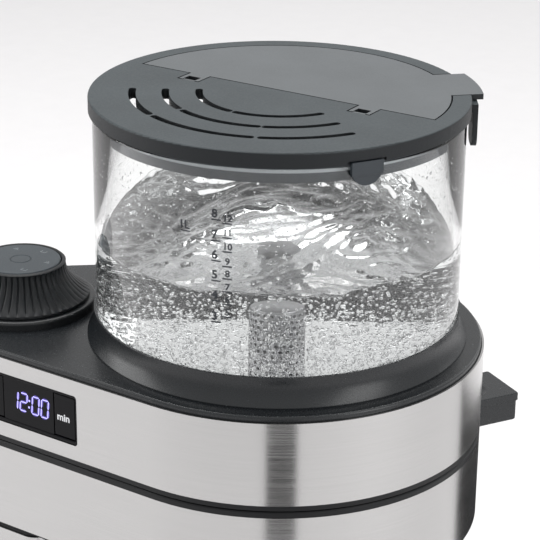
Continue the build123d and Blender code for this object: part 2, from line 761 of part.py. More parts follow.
save(front_board, "front_board")

BOARD_Z = HOUSING_Z + 15.0
CONTROL_BOARD = (46.0, 40.0)
CONTROL_BOARD_AT = (KNOB_X + 9.0, KNOB_Y + 4.0)
PROCESSOR = (12.0, 12.0)
PROCESSOR_AT = (KNOB_X + 22.0, KNOB_Y + 14.0)
BUZZER = (10.0, 6.0)
BUZZER_AT = (KNOB_X - 4.0, KNOB_Y + 18.0)
CHIP_H = 2.5
with BuildPart() as control_board:
    with BuildSketch(Plane.XY.offset(BOARD_Z)):
        with Locations(CONTROL_BOARD_AT):
            Rectangle(*CONTROL_BOARD)
    extrude(amount=BOARD_T)
    with BuildSketch(Plane.XY.offset(BOARD_Z + BOARD_T)):
        with Locations(PROCESSOR_AT):
            Rectangle(*PROCESSOR)
        with Locations(BUZZER_AT):
            Rectangle(*BUZZER)
    extrude(amount=CHIP_H)
save(control_board, "control_board")

RELAY_Z = HOUSING_Z + FLOOR_T + 2.0
RELAY_BOARD = (34.0, 56.0)
RELAY_AT = (-45.0, 8.0)
RELAY = (18.0, 14.0)
RELAY_PITCH = 18.0
TRANSFORMER = (24.0, 10.0)
TRANSFORMER_AT = (-45.0, 27.0)
RELAY_H = 12.0
with BuildPart() as relay_board:
    with BuildSketch(Plane.XY.offset(RELAY_Z)):
        with Locations(RELAY_AT):
            Rectangle(*RELAY_BOARD)
    extrude(amount=BOARD_T)
    with BuildSketch(Plane.XY.offset(RELAY_Z + BOARD_T)):
        with Locations(Location((RELAY_AT[0], RELAY_AT[1] - RELAY[1] / 2))):
            with GridLocations(0, RELAY_PITCH, 1, 2):
                Rectangle(*RELAY)
        with Locations(TRANSFORMER_AT):
            Rectangle(*TRANSFORMER)
    extrude(amount=RELAY_H)
save(relay_board, "relay_board")

HEATER_R = GLASS_R - 6.5
HEATER_HOLE_R = HEATER_R - 2.0
PLATE_INSET = 1.2
PLATE_ROUND = 1.0
with BuildPart() as top_plate:
    with BuildSketch(Plane.XY.offset(HOUSING_TOP)):
        add(body_plan(PLATE_INSET))
    extrude(amount=TOP_PLATE_H)
    fillet(top_plate.edges().group_by(Axis.Z)[-1], radius=PLATE_ROUND)
    with BuildSketch(Plane.XY.offset(HOUSING_TOP)):
        add(body_plan(STEEL_T + SKIN_GAP + WALL_T + SKIN_GAP))
        add(body_plan(STEEL_T + SKIN_GAP + 2 * WALL_T), mode=Mode.SUBTRACT)
        with Locations((PANEL_X, FRONT_Y)):
            Rectangle(FRONT_BOARD_W + SWITCH_W, 3 * PANEL_DEPTH, mode=Mode.SUBTRACT)
    extrude(amount=-RIM_H)
    with BuildSketch(Plane.XY.offset(HOUSING_TOP)):
        with Locations(*HOUSING_BOSSES):
            Circle(BOSS_R)
    extrude(amount=FLOOR_T - HOUSING_H)
    with BuildSketch(Plane.XY.offset(HOUSING_Z + FLOOR_T)):
        with Locations(*HOUSING_BOSSES):
            Circle(SCREW_R)
    extrude(amount=HOUSING_H / 2, mode=Mode.SUBTRACT)
    with BuildSketch(Plane.XY.offset(HOUSING_TOP)):
        Circle(HEATER_HOLE_R)
        with Locations((KNOB_X, KNOB_Y)):
            Circle(SHAFT_R + MOVING_GAP)
    extrude(amount=TOP_PLATE_H, mode=Mode.SUBTRACT)
save(top_plate, "top_plate")

# ---------------------------------------------------------------- vessel floor and valve

with BuildPart() as vessel_gasket:
    with BuildSketch(MAIN_SECTION):
        add(ring_section(HEATER_HOLE_R, GLASS_R, DECK_Z, GLASS_Z))
    revolve(axis=Axis.Z)
save(vessel_gasket, "vessel_gasket")

PAN_R = GLASS_R - GLASS_T - MOVING_GAP
PAN_SKIRT_R = HEATER_HOLE_R - 1.0
PAN_SKIRT_H = 3.0
with BuildPart() as vessel_floor:
    with BuildSketch(Plane.XY.offset(GLASS_Z)):
        Circle(PAN_R)
        Circle(OUTLET_R, mode=Mode.SUBTRACT)
    extrude(amount=PAN_T)
    with BuildSketch(Plane.XY.offset(GLASS_Z)):
        Circle(PAN_SKIRT_R)
        Circle(PAN_SKIRT_R - STEEL_T, mode=Mode.SUBTRACT)
    extrude(amount=-PAN_SKIRT_H)
save(vessel_floor, "vessel_floor")

ELEMENT_R = HEATER_R - 22.0
ELEMENT_WIRE_R = 3.2
ELEMENT_START = -60.0
ELEMENT_SWEEP = 300.0
with BuildPart() as heating_element:
    with BuildLine():
        CenterArc((0, 0, GLASS_Z - ELEMENT_WIRE_R), ELEMENT_R, ELEMENT_START, ELEMENT_SWEEP)
    with BuildSketch(
        Plane(
            origin=(*polar(ELEMENT_R, ELEMENT_START), GLASS_Z - ELEMENT_WIRE_R),
            x_dir=(*polar(1.0, ELEMENT_START), 0),
            z_dir=(*polar(1.0, ELEMENT_START + 90), 0),
        )
    ):
        Circle(ELEMENT_WIRE_R)
    sweep()
save(heating_element, "heating_element")

THERMOSTAT_Y = -26.0
THERMOSTAT_R = 8.0
THERMOSTAT_H = 9.0
BLADE_X = 5.0
BLADE_W = 6.0
BLADE_T = 0.8
with BuildPart() as thermostat:
    with BuildSketch(Plane.XY.offset(GLASS_Z)):
        with Locations((0, THERMOSTAT_Y)):
            Circle(THERMOSTAT_R)
    extrude(amount=-THERMOSTAT_H)
    with BuildSketch(Plane.XY.offset(GLASS_Z - THERMOSTAT_H)):
        with Locations((-BLADE_X, THERMOSTAT_Y), (BLADE_X, THERMOSTAT_Y)):
            Rectangle(BLADE_T, BLADE_W)
    extrude(amount=-BLADE_W)
save(thermostat, "thermostat")

with BuildPart() as glass_vessel:
    with BuildSketch(MAIN_SECTION):
        add(ring_section(GLASS_R - GLASS_T, GLASS_R, GLASS_Z, GLASS_TOP))
    revolve(axis=Axis.Z)
    fillet(glass_vessel.edges().group_by(Axis.Z)[-1], radius=GLASS_T * 0.4)
save(glass_vessel, "glass_vessel")

COLLAR_BORE = GLASS_R + 0.1
COLLAR_LIP_R = COLLAR_BORE + 0.9
COLLAR_WAIST_R = COLLAR_BORE + 1.3
COLLAR_FOOT_R = COLLAR_BORE + 3.6
COLLAR_FOOT_H = 0.6
with BuildPart() as vessel_collar:
    with BuildSketch(MAIN_SECTION):
        with BuildLine():
            Line((COLLAR_BORE, DECK_Z), (COLLAR_BORE, COLLAR_TOP))
            Line((COLLAR_BORE, COLLAR_TOP), (COLLAR_LIP_R, COLLAR_TOP))
            ThreePointArc(
                (COLLAR_LIP_R, COLLAR_TOP),
                (COLLAR_WAIST_R, DECK_Z + COLLAR_H * 0.4),
                (COLLAR_FOOT_R, DECK_Z + COLLAR_FOOT_H),
            )
            Line((COLLAR_FOOT_R, DECK_Z + COLLAR_FOOT_H), (COLLAR_FOOT_R, DECK_Z))
            Line((COLLAR_FOOT_R, DECK_Z), (COLLAR_BORE, DECK_Z))
        make_face()
    revolve(axis=Axis.Z)
save(vessel_collar, "vessel_collar")

SIEVE_ROUND = 1.5
SIEVE_HOLE_Z = PAN_TOP + 4.0
SIEVE_HOLE_PITCH = 5.0
with BuildPart() as outlet_sieve:
    with BuildSketch(MAIN_SECTION):
        add(outline(
            (SIEVE_R - SIEVE_T, PAN_TOP),
            (SIEVE_R, PAN_TOP),
            (SIEVE_R, PAN_TOP + SIEVE_H - SIEVE_ROUND),
            (SIEVE_R - SIEVE_ROUND, PAN_TOP + SIEVE_H),
            (0, PAN_TOP + SIEVE_H),
            (0, PAN_TOP + SIEVE_H - SIEVE_T),
            (SIEVE_R - SIEVE_ROUND - SIEVE_T / 2, PAN_TOP + SIEVE_H - SIEVE_T),
            (SIEVE_R - SIEVE_T, PAN_TOP + SIEVE_H - SIEVE_ROUND - SIEVE_T / 2),
        ))
    revolve(axis=Axis.Z)
    for row in range(3):
        with BuildSketch(Plane.XZ.offset(-SIEVE_R - 1.0)):
            with Locations((0, SIEVE_HOLE_Z + SIEVE_HOLE_PITCH * row)):
                Circle(SIEVE_HOLE_R)
        extrude(amount=2 * SIEVE_R + 2.0, mode=Mode.SUBTRACT)
        with BuildSketch(Plane.YZ.offset(-SIEVE_R - 1.0)):
            with Locations((0, SIEVE_HOLE_Z + SIEVE_HOLE_PITCH * row)):
                Circle(SIEVE_HOLE_R)
        extrude(amount=2 * SIEVE_R + 2.0, mode=Mode.SUBTRACT)
save(outlet_sieve, "outlet_sieve")

SEAT_TOP = PAN_TOP + 0.4
with BuildPart() as valve_seat:
    with BuildSketch(MAIN_SECTION):
        add(outline(
            (VALVE_BORE, GLASS_Z - PAN_SKIRT_H),
            (OUTLET_BORE, GLASS_Z - PAN_SKIRT_H),
            (OUTLET_BORE, GLASS_Z),
            (OUTLET_R, GLASS_Z),
            (OUTLET_R, SEAT_TOP),
            (VALVE_BORE, SEAT_TOP),
        ))
    revolve(axis=Axis.Z)
save(valve_seat, "valve_seat")

SPRAY_T = 2.5
SPRAY_FLANGE_W = 3.0
SPRAY_FLANGE_T = 2.0
SPRAY_HOLE_R = 1.2
SPRAY_OUTER_HOLE_R = 0.9
with BuildPart() as outlet_pipe:
    with BuildSketch(MAIN_SECTION):
        add(ring_section(OUTLET_BORE, OUTLET_R, HOUSING_Z + SPRAY_T, GLASS_Z))
    revolve(axis=Axis.Z)
save(outlet_pipe, "outlet_pipe")

SLUG_LOW = HOUSING_Z + 14.0
SLUG_HIGH = GLASS_Z - 11.0
SLUG_R = OUTLET_BORE - 0.8
VALVE_HEAD_R = OUTLET_R - 1.0
VALVE_TOP = PAN_TOP + 8.0
with BuildPart() as drain_valve:
    with BuildSketch(MAIN_SECTION):
        add(outline(
            (0, SLUG_LOW),
            (SLUG_R, SLUG_LOW),
            (SLUG_R, SLUG_HIGH),
            (STEM_R, SLUG_HIGH),
            (STEM_R, SEAT_TOP + SKIN_GAP),
            (VALVE_HEAD_R, SEAT_TOP + SKIN_GAP),
            (VALVE_HEAD_R, SEAT_TOP + 1.8),
            (STEM_R, SEAT_TOP + 3.1),
            (STEM_R, VALVE_TOP),
            (0, VALVE_TOP),
        ))
    revolve(axis=Axis.Z)
save(drain_valve, "drain_valve")

VALVE_SPRING_H = 3.0
valve_spring = coil_spring((0, 0), SLUG_HIGH + VALVE_LIFT + 1.0, VALVE_SPRING_H, COIL_R, WIRE_R, 2)
save(valve_spring, "valve_spring")

WINDING_R = OUTLET_R + 6.5
COIL_FLANGE_R = OUTLET_R + 7.5
COIL_FLANGE_T = 2.0
with BuildPart() as valve_coil:
    with BuildSketch(MAIN_SECTION):
        add(outline(
            (OUTLET_R, SLUG_LOW - COIL_FLANGE_T),
            (COIL_FLANGE_R, SLUG_LOW - COIL_FLANGE_T),
            (COIL_FLANGE_R, SLUG_LOW),
            (WINDING_R, SLUG_LOW),
            (WINDING_R, SLUG_HIGH - 2 * COIL_FLANGE_T),
            (COIL_FLANGE_R, SLUG_HIGH - 2 * COIL_FLANGE_T),
            (COIL_FLANGE_R, SLUG_HIGH - COIL_FLANGE_T),
            (OUTLET_R, SLUG_HIGH - COIL_FLANGE_T),
        ))
    revolve(axis=Axis.Z)
save(valve_coil, "valve_coil")

with BuildPart() as spray_head:
    with BuildSketch(Plane.XY.offset(HOUSING_Z)):
        Circle(SPRAY_R - SKIN_GAP)
    extrude(amount=SPRAY_T)
    with BuildSketch(Plane.XY.offset(HOUSING_Z + SPRAY_T)):
        Circle(SPRAY_R + SPRAY_FLANGE_W)
        Circle(OUTLET_R, mode=Mode.SUBTRACT)
    extrude(amount=SPRAY_FLANGE_T)
    with BuildSketch(Plane.XY.offset(HOUSING_Z)):
        with PolarLocations(OUTLET_BORE - 2.5, 4):
            Circle(SPRAY_HOLE_R)
        with PolarLocations(OUTLET_BORE, 8):
            Circle(SPRAY_OUTER_HOLE_R)
    extrude(amount=SPRAY_T, mode=Mode.SUBTRACT)
save(spray_head, "spray_head")

# ---------------------------------------------------------------- selector knob

KNOB_RING_ROUND = 1.2
with BuildPart() as knob_ring:
    with BuildSketch(KNOB_SECTION):
        add(ring_section(SHAFT_R + MOVING_GAP, KNOB_RING_R, DECK_Z, DECK_Z + KNOB_RING_H))
    revolve(axis=KNOB_AXIS)
    fillet(knob_ring.edges().group_by(Axis.Z)[-1].sort_by(SortBy.LENGTH)[-1], radius=KNOB_RING_ROUND)
save(knob_ring, "knob_ring")

DISC_SEAT = KNOB_TOP - DISC_T - DISC_TRAVEL - MOVING_GAP
SPRING_POCKET = 6.0
POCKET_DEPTH = 5.0
KNOB_SKIRT = 1.2
KNOB_RIM_CUT = 0.6
KNOB_WAIST_R = KNOB_TOP_R + 1.6
with BuildPart() as knob:
    with BuildSketch(KNOB_SECTION):
        with BuildLine():
            Line((SHAFT_R, KNOB_Z), (KNOB_FOOT_R, KNOB_Z))
            Line((KNOB_FOOT_R, KNOB_Z), (KNOB_FOOT_R, KNOB_Z + KNOB_SKIRT))
            ThreePointArc(
                (KNOB_FOOT_R, KNOB_Z + KNOB_SKIRT),
                (KNOB_WAIST_R, KNOB_Z + KNOB_H / 2),
                (KNOB_TOP_R, KNOB_TOP - KNOB_RIM_CUT),
            )
            Line((KNOB_TOP_R, KNOB_TOP - KNOB_RIM_CUT), (KNOB_TOP_R - KNOB_RIM_CUT, KNOB_TOP))
            Line((KNOB_TOP_R - KNOB_RIM_CUT, KNOB_TOP), (DISC_R + MOVING_GAP, KNOB_TOP))
            Line((DISC_R + MOVING_GAP, KNOB_TOP), (DISC_R + MOVING_GAP, DISC_SEAT))
            Line((DISC_R + MOVING_GAP, DISC_SEAT), (SPRING_POCKET, DISC_SEAT))
            Line((SPRING_POCKET, DISC_SEAT), (SPRING_POCKET, DISC_SEAT - POCKET_DEPTH))
            Line((SPRING_POCKET, DISC_SEAT - POCKET_DEPTH), (SHAFT_R, DISC_SEAT - POCKET_DEPTH))
            Line((SHAFT_R, DISC_SEAT - POCKET_DEPTH), (SHAFT_R, KNOB_Z))
        make_face()
    revolve(axis=KNOB_AXIS)
save(knob, "knob")

ENCODER_Z = BOARD_Z + BOARD_T
ENCODER_H = 9.0
ENCODER_W = 14.0
ENCODER_FLOOR = 1.0
SHAFT_FOOT_Z = ENCODER_Z + 1.5
ROD_FOOT_Z = ENCODER_Z + 3.0
with BuildPart() as knob_shaft:
    with BuildSketch(KNOB_SECTION):
        add(ring_section(ROD_R + RUNNING, SHAFT_R, SHAFT_FOOT_Z, DISC_SEAT - POCKET_DEPTH))
    revolve(axis=KNOB_AXIS)
save(knob_shaft, "knob_shaft")

with BuildPart() as rotary_encoder:
    with BuildSketch(Plane.XY.offset(ENCODER_Z)):
        with Locations((KNOB_X, KNOB_Y)):
            Rectangle(ENCODER_W, ENCODER_W)
    extrude(amount=ENCODER_H)
    with BuildSketch(Plane.XY.offset(ENCODER_Z + ENCODER_FLOOR)):
        with Locations((KNOB_X, KNOB_Y)):
            Circle(SHAFT_R + RUNNING)
    extrude(amount=ENCODER_H, mode=Mode.SUBTRACT)
save(rotary_encoder, "rotary_encoder")

with BuildPart() as start_rod:
    with BuildSketch(Plane.XY.offset(ROD_FOOT_Z)):
        with Locations((KNOB_X, KNOB_Y)):
            Circle(ROD_R)
    extrude(amount=KNOB_TOP - DISC_T - ROD_FOOT_Z)
save(start_rod, "start_rod")

DIMPLE_R = 4.2
DIMPLE_CUT = 0.4
with BuildPart() as start_disc:
    with BuildSketch(KNOB_SECTION):
        add(outline(
            (0, KNOB_TOP - DISC_T),
            (DISC_R, KNOB_TOP - DISC_T),
            (DISC_R, KNOB_TOP - DIMPLE_CUT),
            (DISC_R - DIMPLE_CUT, KNOB_TOP),
            (DIMPLE_R + DIMPLE_CUT, KNOB_TOP),
            (DIMPLE_R, KNOB_TOP - DIMPLE_CUT),
            (DIMPLE_R - DIMPLE_CUT, KNOB_TOP),
            (0, KNOB_TOP),
        ))
    revolve(axis=KNOB_AXIS)
save(start_disc, "start_disc")

START_SPRING_H = 3.6
START_SPRING_Z = DISC_SEAT - POCKET_DEPTH + 0.6
start_spring = coil_spring((KNOB_X, KNOB_Y), START_SPRING_Z, START_SPRING_H, COIL_R, WIRE_R, 3)
save(start_spring, "start_spring")

# ---------------------------------------------------------------- lid and flap

LID_PLANE = Plane(origin=(0, 0, LID_TOP), x_dir=(*polar(1.0, LID_TURN), 0), z_dir=(0, 0, 1))
HINGE_SECTION = Plane(
    origin=(0, 0, LID_TOP),
    x_dir=(*polar(1.0, LID_TURN + 90), 0),
    z_dir=(*polar(1.0, LID_TURN), 0),
)
HINGE_Y = EAR_FRONT_Y + HINGE_BAR_R
EAR_HOLE_W = 5.6
EAR_HOLE_L = 3.0
EAR_SWING = 0.75
HOOK_W = EAR_HOLE_W - 4 * SKIN_GAP
HOOK_L = HINGE_BAR_R + EAR_HOLE_L - 1.2


def tangent_plane(radius, turn, height):
    """A plane that faces outwards at a radius and an angle from the lid's own X axis."""
    angle = LID_TURN + turn
    return Plane(
        origin=(*polar(radius, angle), height),
        x_dir=(*polar(1.0, angle + 90), 0),
        z_dir=(*polar(1.0, angle), 0),
    )


def half_disc(radius, chord_y):
    """The part of a disc behind a chord."""
    with BuildSketch() as shape:
        Circle(radius)
        with Locations((0, chord_y)):
            Rectangle(FAR, FAR, align=(Align.CENTER, Align.MAX), mode=Mode.SUBTRACT)
    return shape.sketch


def tab_plan(width, reach):
    """The finger tab: parallel sides, ending in an arc about the brewing axis."""
    with BuildSketch() as shape:
        with Locations((FLAP_R / 2, 0)):
            Rectangle(reach, width, align=(Align.MIN, Align.CENTER))
        Circle(reach, mode=Mode.INTERSECT)
    return shape.sketch.rotate(Axis.Z, TAB_TURN)


def rim_bar(inner, outer, width, turn):
    """A bar in plan that crosses the lid's rim radially."""
    with BuildSketch() as shape:
        with Locations((inner, 0)):
            Rectangle(outer - inner, width, align=(Align.MIN, Align.CENTER))
    return shape.sketch.rotate(Axis.Z, turn)


def ear_plan(widen, front_y):
    """Both hinge ears in plan, from behind the chord to a front edge."""
    with BuildSketch() as shape:
        with Locations((-EAR_X, front_y), (EAR_X, front_y)):
            Rectangle(
                EAR_W + 2 * widen, FLAP_CHORD_Y - front_y + 1.0, align=(Align.CENTER, Align.MIN)
            )
    return shape.sketch


TONGUE_FLOOR = -FLAP_T - SKIN_GAP - MOVING_GAP
PULL_NOTCH = 1.4
PULL_HEADROOM = 0.4
with BuildPart() as lid:
    with BuildSketch(LID_PLANE.offset(-LID_H)):
        Circle(LID_R)
    extrude(amount=LID_H)
    fillet(lid.edges().group_by(Axis.Z)[-1], radius=LID_ROUND)
    with BuildSketch(LID_PLANE.offset(-LID_H)):
        Circle(LID_R - LID_RIM_W)
    extrude(amount=LID_H - LID_DECK, mode=Mode.SUBTRACT)
    with BuildSketch(LID_PLANE):
        add(half_disc(FLAP_R + FLAP_GAP, FLAP_CHORD_Y - FLAP_GAP))
        add(tab_plan(TAB_W + 2 * FLAP_GAP, TAB_R))
    extrude(amount=-FLAP_T - SKIN_GAP, mode=Mode.SUBTRACT)
    with BuildSketch(LID_PLANE):
        add(ear_plan(FLAP_GAP, EAR_FRONT_Y - EAR_SWING))
    extrude(amount=-FLAP_T - EAR_SWING, mode=Mode.SUBTRACT)
    with BuildSketch(LID_PLANE):
        add(half_disc(FLAP_R - FLAP_LEDGE, FLAP_CHORD_Y + FLAP_LEDGE))
    extrude(amount=-LID_H, mode=Mode.SUBTRACT)
    for slot_r, slot_start, slot_end in SLOTS:
        with BuildSketch(LID_PLANE):
            with BuildLine():
                CenterArc((0, 0), slot_r, slot_start, slot_end - slot_start)
            trace(line_width=SLOT_W)
            with Locations(polar(slot_r, slot_start), polar(slot_r, slot_end)):
                Circle(SLOT_W / 2)
        extrude(amount=-LID_H, mode=Mode.SUBTRACT)
    for side in (-1, 1):
        with BuildSketch(HINGE_SECTION.offset(side * EAR_X - HOOK_W / 2)):
            with Locations((HINGE_Y, -FLAP_T - EAR_SWING)):
                Rectangle(
                    HOOK_L, FLAP_T + EAR_SWING - HINGE_DROP, align=(Align.MIN, Align.MIN)
                )
            with Locations((HINGE_Y, -HINGE_DROP)):
                Circle(HINGE_BAR_R + RUNNING, mode=Mode.SUBTRACT)
        extrude(amount=HOOK_W)
    with BuildSketch(LID_PLANE.offset(-LID_H)):
        add(rim_bar(LID_R - LID_RIM_W / 2, TONGUE_R, TONGUE_W, TONGUE_TURN))
    extrude(amount=LID_H + TONGUE_FLOOR)
    with BuildSketch(tangent_plane(TONGUE_R - TONGUE_T, TONGUE_TURN, LID_TOP)) as tongue:
        with Locations((0, TONGUE_FLOOR)):
            Rectangle(TONGUE_W, TONGUE_DROP + TONGUE_FLOOR, align=(Align.CENTER, Align.MAX))
        fillet(tongue.vertices().group_by(Axis.Y)[0], radius=TONGUE_W / 3)
    extrude(amount=TONGUE_T)
    with BuildSketch(LID_PLANE.offset(-LID_H)):
        add(rim_bar(GLASS_R + 0.1, LID_R + 1.0, PULL_W + 2 * PULL_NOTCH, PULL_TURN))
    extrude(amount=PULL_NOTCH, mode=Mode.SUBTRACT)
save(lid, "lid")

SEAL_R = GLASS_R - GLASS_T - MOVING_GAP
SEAL_FLANGE_Z = GLASS_TOP + 0.1
PULL_R = GLASS_R + 0.4
PULL_T = 1.6
PULL_STEP_T = 0.4
PULL_ROUNDING = 2.05
with BuildPart() as lid_seal:
    with BuildSketch(MAIN_SECTION):
        add(ring_section(SEAL_R - SEAL_T, SEAL_R, LID_Z - SEAL_DROP, LID_Z + LID_H - LID_DECK))
        add(ring_section(SEAL_R, GLASS_R + MOVING_GAP, SEAL_FLANGE_Z, LID_Z))
    revolve(axis=Axis.Z)
    with BuildSketch(LID_PLANE.offset(SEAL_FLANGE_Z - LID_TOP)):
        add(rim_bar(SEAL_R + MOVING_GAP, PULL_R + PULL_T, PULL_W, PULL_TURN))
    extrude(amount=LID_Z - SEAL_FLANGE_Z)
    with BuildSketch(tangent_plane(PULL_R, PULL_TURN, LID_Z)) as pull:
        with Locations((0, PULL_NOTCH - PULL_HEADROOM)):
            Rectangle(PULL_W, PULL_DROP + PULL_NOTCH - PULL_HEADROOM, align=(Align.CENTER, Align.MAX))
        fillet(pull.vertices().group_by(Axis.Y)[0], radius=PULL_W / PULL_ROUNDING)
    extrude(amount=PULL_T - PULL_STEP_T)
    with BuildSketch(tangent_plane(PULL_R, PULL_TURN, LID_Z)):
        with Locations((0, PULL_NOTCH - PULL_HEADROOM)):
            Rectangle(PULL_W, PULL_STEP + PULL_NOTCH - PULL_HEADROOM, align=(Align.CENTER, Align.MAX))
    extrude(amount=PULL_T)
save(lid_seal, "lid_seal")

with BuildPart() as lid_flap:
    with BuildSketch(LID_PLANE):
        add(half_disc(FLAP_R, FLAP_CHORD_Y))
        add(tab_plan(TAB_W, TAB_R))
        add(ear_plan(0, EAR_FRONT_Y))
    extrude(amount=-FLAP_T)
    with BuildSketch(LID_PLANE):
        with Locations((-EAR_X, EAR_FRONT_Y), (EAR_X, EAR_FRONT_Y)):
            Rectangle(
                EAR_HOLE_W, 2 * HINGE_BAR_R + EAR_HOLE_L, align=(Align.CENTER, Align.MIN)
            )
    extrude(amount=-FLAP_T, mode=Mode.SUBTRACT)
    for side in (-1, 1):
        with BuildSketch(HINGE_SECTION.offset(side * EAR_X - EAR_W / 2)):
            with Locations((HINGE_Y, -HINGE_DROP)):
                Circle(HINGE_BAR_R)
        extrude(amount=EAR_W)
save(lid_flap, "lid_flap")

# ---------------------------------------------------------------- carafe

CARAFE_Z = BASE_TOP + MAT_T + SKIN_GAP
CARAFE_LID_TOP = DRIP_Z - CARAFE_GAP
NECK_Z = CARAFE_LID_TOP - CARAFE_HEAD_H
CARAFE_COLLAR_Z = NECK_Z + CARAFE_COLLAR_H
SHOULDER_H = 22.0
NECK_LAP = 1.6
HEEL = 4.0
LINER_GAP = 3.5
HANDLE_SECTION = Plane(
    origin=(0, 0, 0),
    x_dir=(*polar(1.0, CARAFE_TURN), 0),
    z_dir=(*polar(1.0, CARAFE_TURN - 90), 0),
)


def bottle(foot_z, radius, neck_r, wall):
    """A thin-walled bottle with a straight side and a rounded shoulder, open at the neck."""
    low = NECK_Z - SHOULDER_H
    drop = (radius - neck_r) * 0.3
    rise = SHOULDER_H * 0.62
    with BuildPart() as vessel:
        with BuildSketch(MAIN_SECTION):
            with BuildLine():
                Polyline((0, foot_z), (radius - HEEL, foot_z), (radius, foot_z + HEEL), (radius, low))
                ThreePointArc((radius, low), (radius - drop, low + rise), (neck_r, NECK_Z))
                Line((neck_r, NECK_Z), (neck_r - wall, NECK_Z))
                ThreePointArc(
                    (neck_r - wall, NECK_Z),
                    (radius - drop - wall, low + rise - wall / 2),
                    (radius - wall, low),
                )
                Polyline(
                    (radius - wall, low),
                    (radius - wall, foot_z + HEEL + wall / 2),
                    (radius - HEEL - wall / 2, foot_z + wall),
                    (0, foot_z + wall),
                    (0, foot_z),
                )
            make_face()
        revolve(axis=Axis.Z)
    return vessel


carafe_shell = bottle(CARAFE_Z, CARAFE_R, CARAFE_NECK_R + NECK_LAP, CARAFE_T)
save(carafe_shell, "carafe_shell")

carafe_liner = bottle(CARAFE_Z + LINER_GAP, CARAFE_R - LINER_GAP, CARAFE_NECK_R, CARAFE_T)
save(carafe_liner, "carafe_liner")

MOUTH_R = CARAFE_NECK_R - 2.5
COLLAR_OUT_R = CARAFE_NECK_R + 4.5
COLLAR_EDGE = 1.0
SPOUT_R = 57.0
SPOUT_ROOT_R = 9.0
SPOUT_TIP_R = 8.0
SPOUT_DROP = 9.0
with BuildPart() as carafe_collar:
    with BuildSketch(MAIN_SECTION):
        add(outline(
            (MOUTH_R, NECK_Z),
            (CARAFE_NECK_R + NECK_LAP, NECK_Z),
            (COLLAR_OUT_R, NECK_Z + 3.0),
            (COLLAR_OUT_R, CARAFE_COLLAR_Z - COLLAR_EDGE),
            (COLLAR_OUT_R - COLLAR_EDGE, CARAFE_COLLAR_Z),
            (MOUTH_R, CARAFE_COLLAR_Z),
        ))
    revolve(axis=Axis.Z)
    with BuildSketch(Plane.XY.offset(CARAFE_COLLAR_Z - SPOUT_DROP)):
        with Locations(polar(CARAFE_NECK_R + COLLAR_EDGE, CARAFE_TURN + 180)):
            Circle(SPOUT_ROOT_R)
        Circle(COLLAR_OUT_R - COLLAR_EDGE, mode=Mode.SUBTRACT)
    with BuildSketch(Plane.XY.offset(CARAFE_COLLAR_Z)):
        with Locations(polar(SPOUT_R - SPOUT_TIP_R, CARAFE_TURN + 180)):
            Circle(SPOUT_TIP_R)
        Circle(COLLAR_OUT_R - COLLAR_EDGE, mode=Mode.SUBTRACT)
    loft()
save(carafe_collar, "carafe_collar")

HANDLE_W = 20.0
HANDLE_T = 11.0
HANDLE_REACH = 96.0
HANDLE_TOP_Z = NECK_Z + 6.5
HANDLE_FOOT_Z = CARAFE_Z + 20.0
HANDLE_ROUND = 2.5
CHEEK_T = 2.2
CHEEK_W = 8.0
CHEEK_H = 12.5
LEVER_POCKET_H = 7.0
PIN_R = 1.2
LEVER_PIVOT = (CARAFE_NECK_R + 16.0, NECK_Z + 16.0)
with BuildPart() as carafe_handle:
    with BuildSketch(HANDLE_SECTION.offset(-HANDLE_W / 2)):
        with BuildLine():
            FilletPolyline(
                (CARAFE_NECK_R, HANDLE_TOP_Z),
                (HANDLE_REACH - HANDLE_T, HANDLE_TOP_Z),
                (HANDLE_REACH - HANDLE_T / 2, NECK_Z - 20.0),
                (HANDLE_REACH - HANDLE_T * 1.6, HANDLE_FOOT_Z + 6.0),
                (CARAFE_R - HEEL, HANDLE_FOOT_Z),
                radius=(9.0, 20.0, 8.0),
            )
        trace(line_width=HANDLE_T)
    extrude(amount=HANDLE_W)
    fillet(carafe_handle.edges().filter_by(GeomType.LINE, reverse=True), radius=HANDLE_ROUND)
    with BuildSketch(HANDLE_SECTION.offset(-HANDLE_W / 2)):
        with Locations((LEVER_PIVOT[0], HANDLE_TOP_Z)):
            Rectangle(CHEEK_W, CHEEK_H, align=(Align.CENTER, Align.MIN))
    extrude(amount=HANDLE_W)
    with BuildSketch(HANDLE_SECTION.offset(-HANDLE_W / 2 + CHEEK_T)):
        with Locations((LEVER_PIVOT[0], HANDLE_TOP_Z + HANDLE_T / 2)):
            Rectangle(CHEEK_W, LEVER_POCKET_H, align=(Align.CENTER, Align.MIN))
    extrude(amount=HANDLE_W - 2 * CHEEK_T, mode=Mode.SUBTRACT)
    with BuildSketch(HANDLE_SECTION.offset(-HANDLE_W / 2)):
        with Locations(LEVER_PIVOT):
            Circle(PIN_R)
    extrude(amount=HANDLE_W, mode=Mode.SUBTRACT)
    with BuildSketch(Plane.XY.offset(NECK_Z)):
        Circle(COLLAR_OUT_R)
    extrude(amount=3 * HANDLE_T, mode=Mode.SUBTRACT)
    with BuildSketch(Plane.XY):
        Circle(CARAFE_R)
    extrude(amount=NECK_Z, mode=Mode.SUBTRACT)
save(carafe_handle, "carafe_handle")

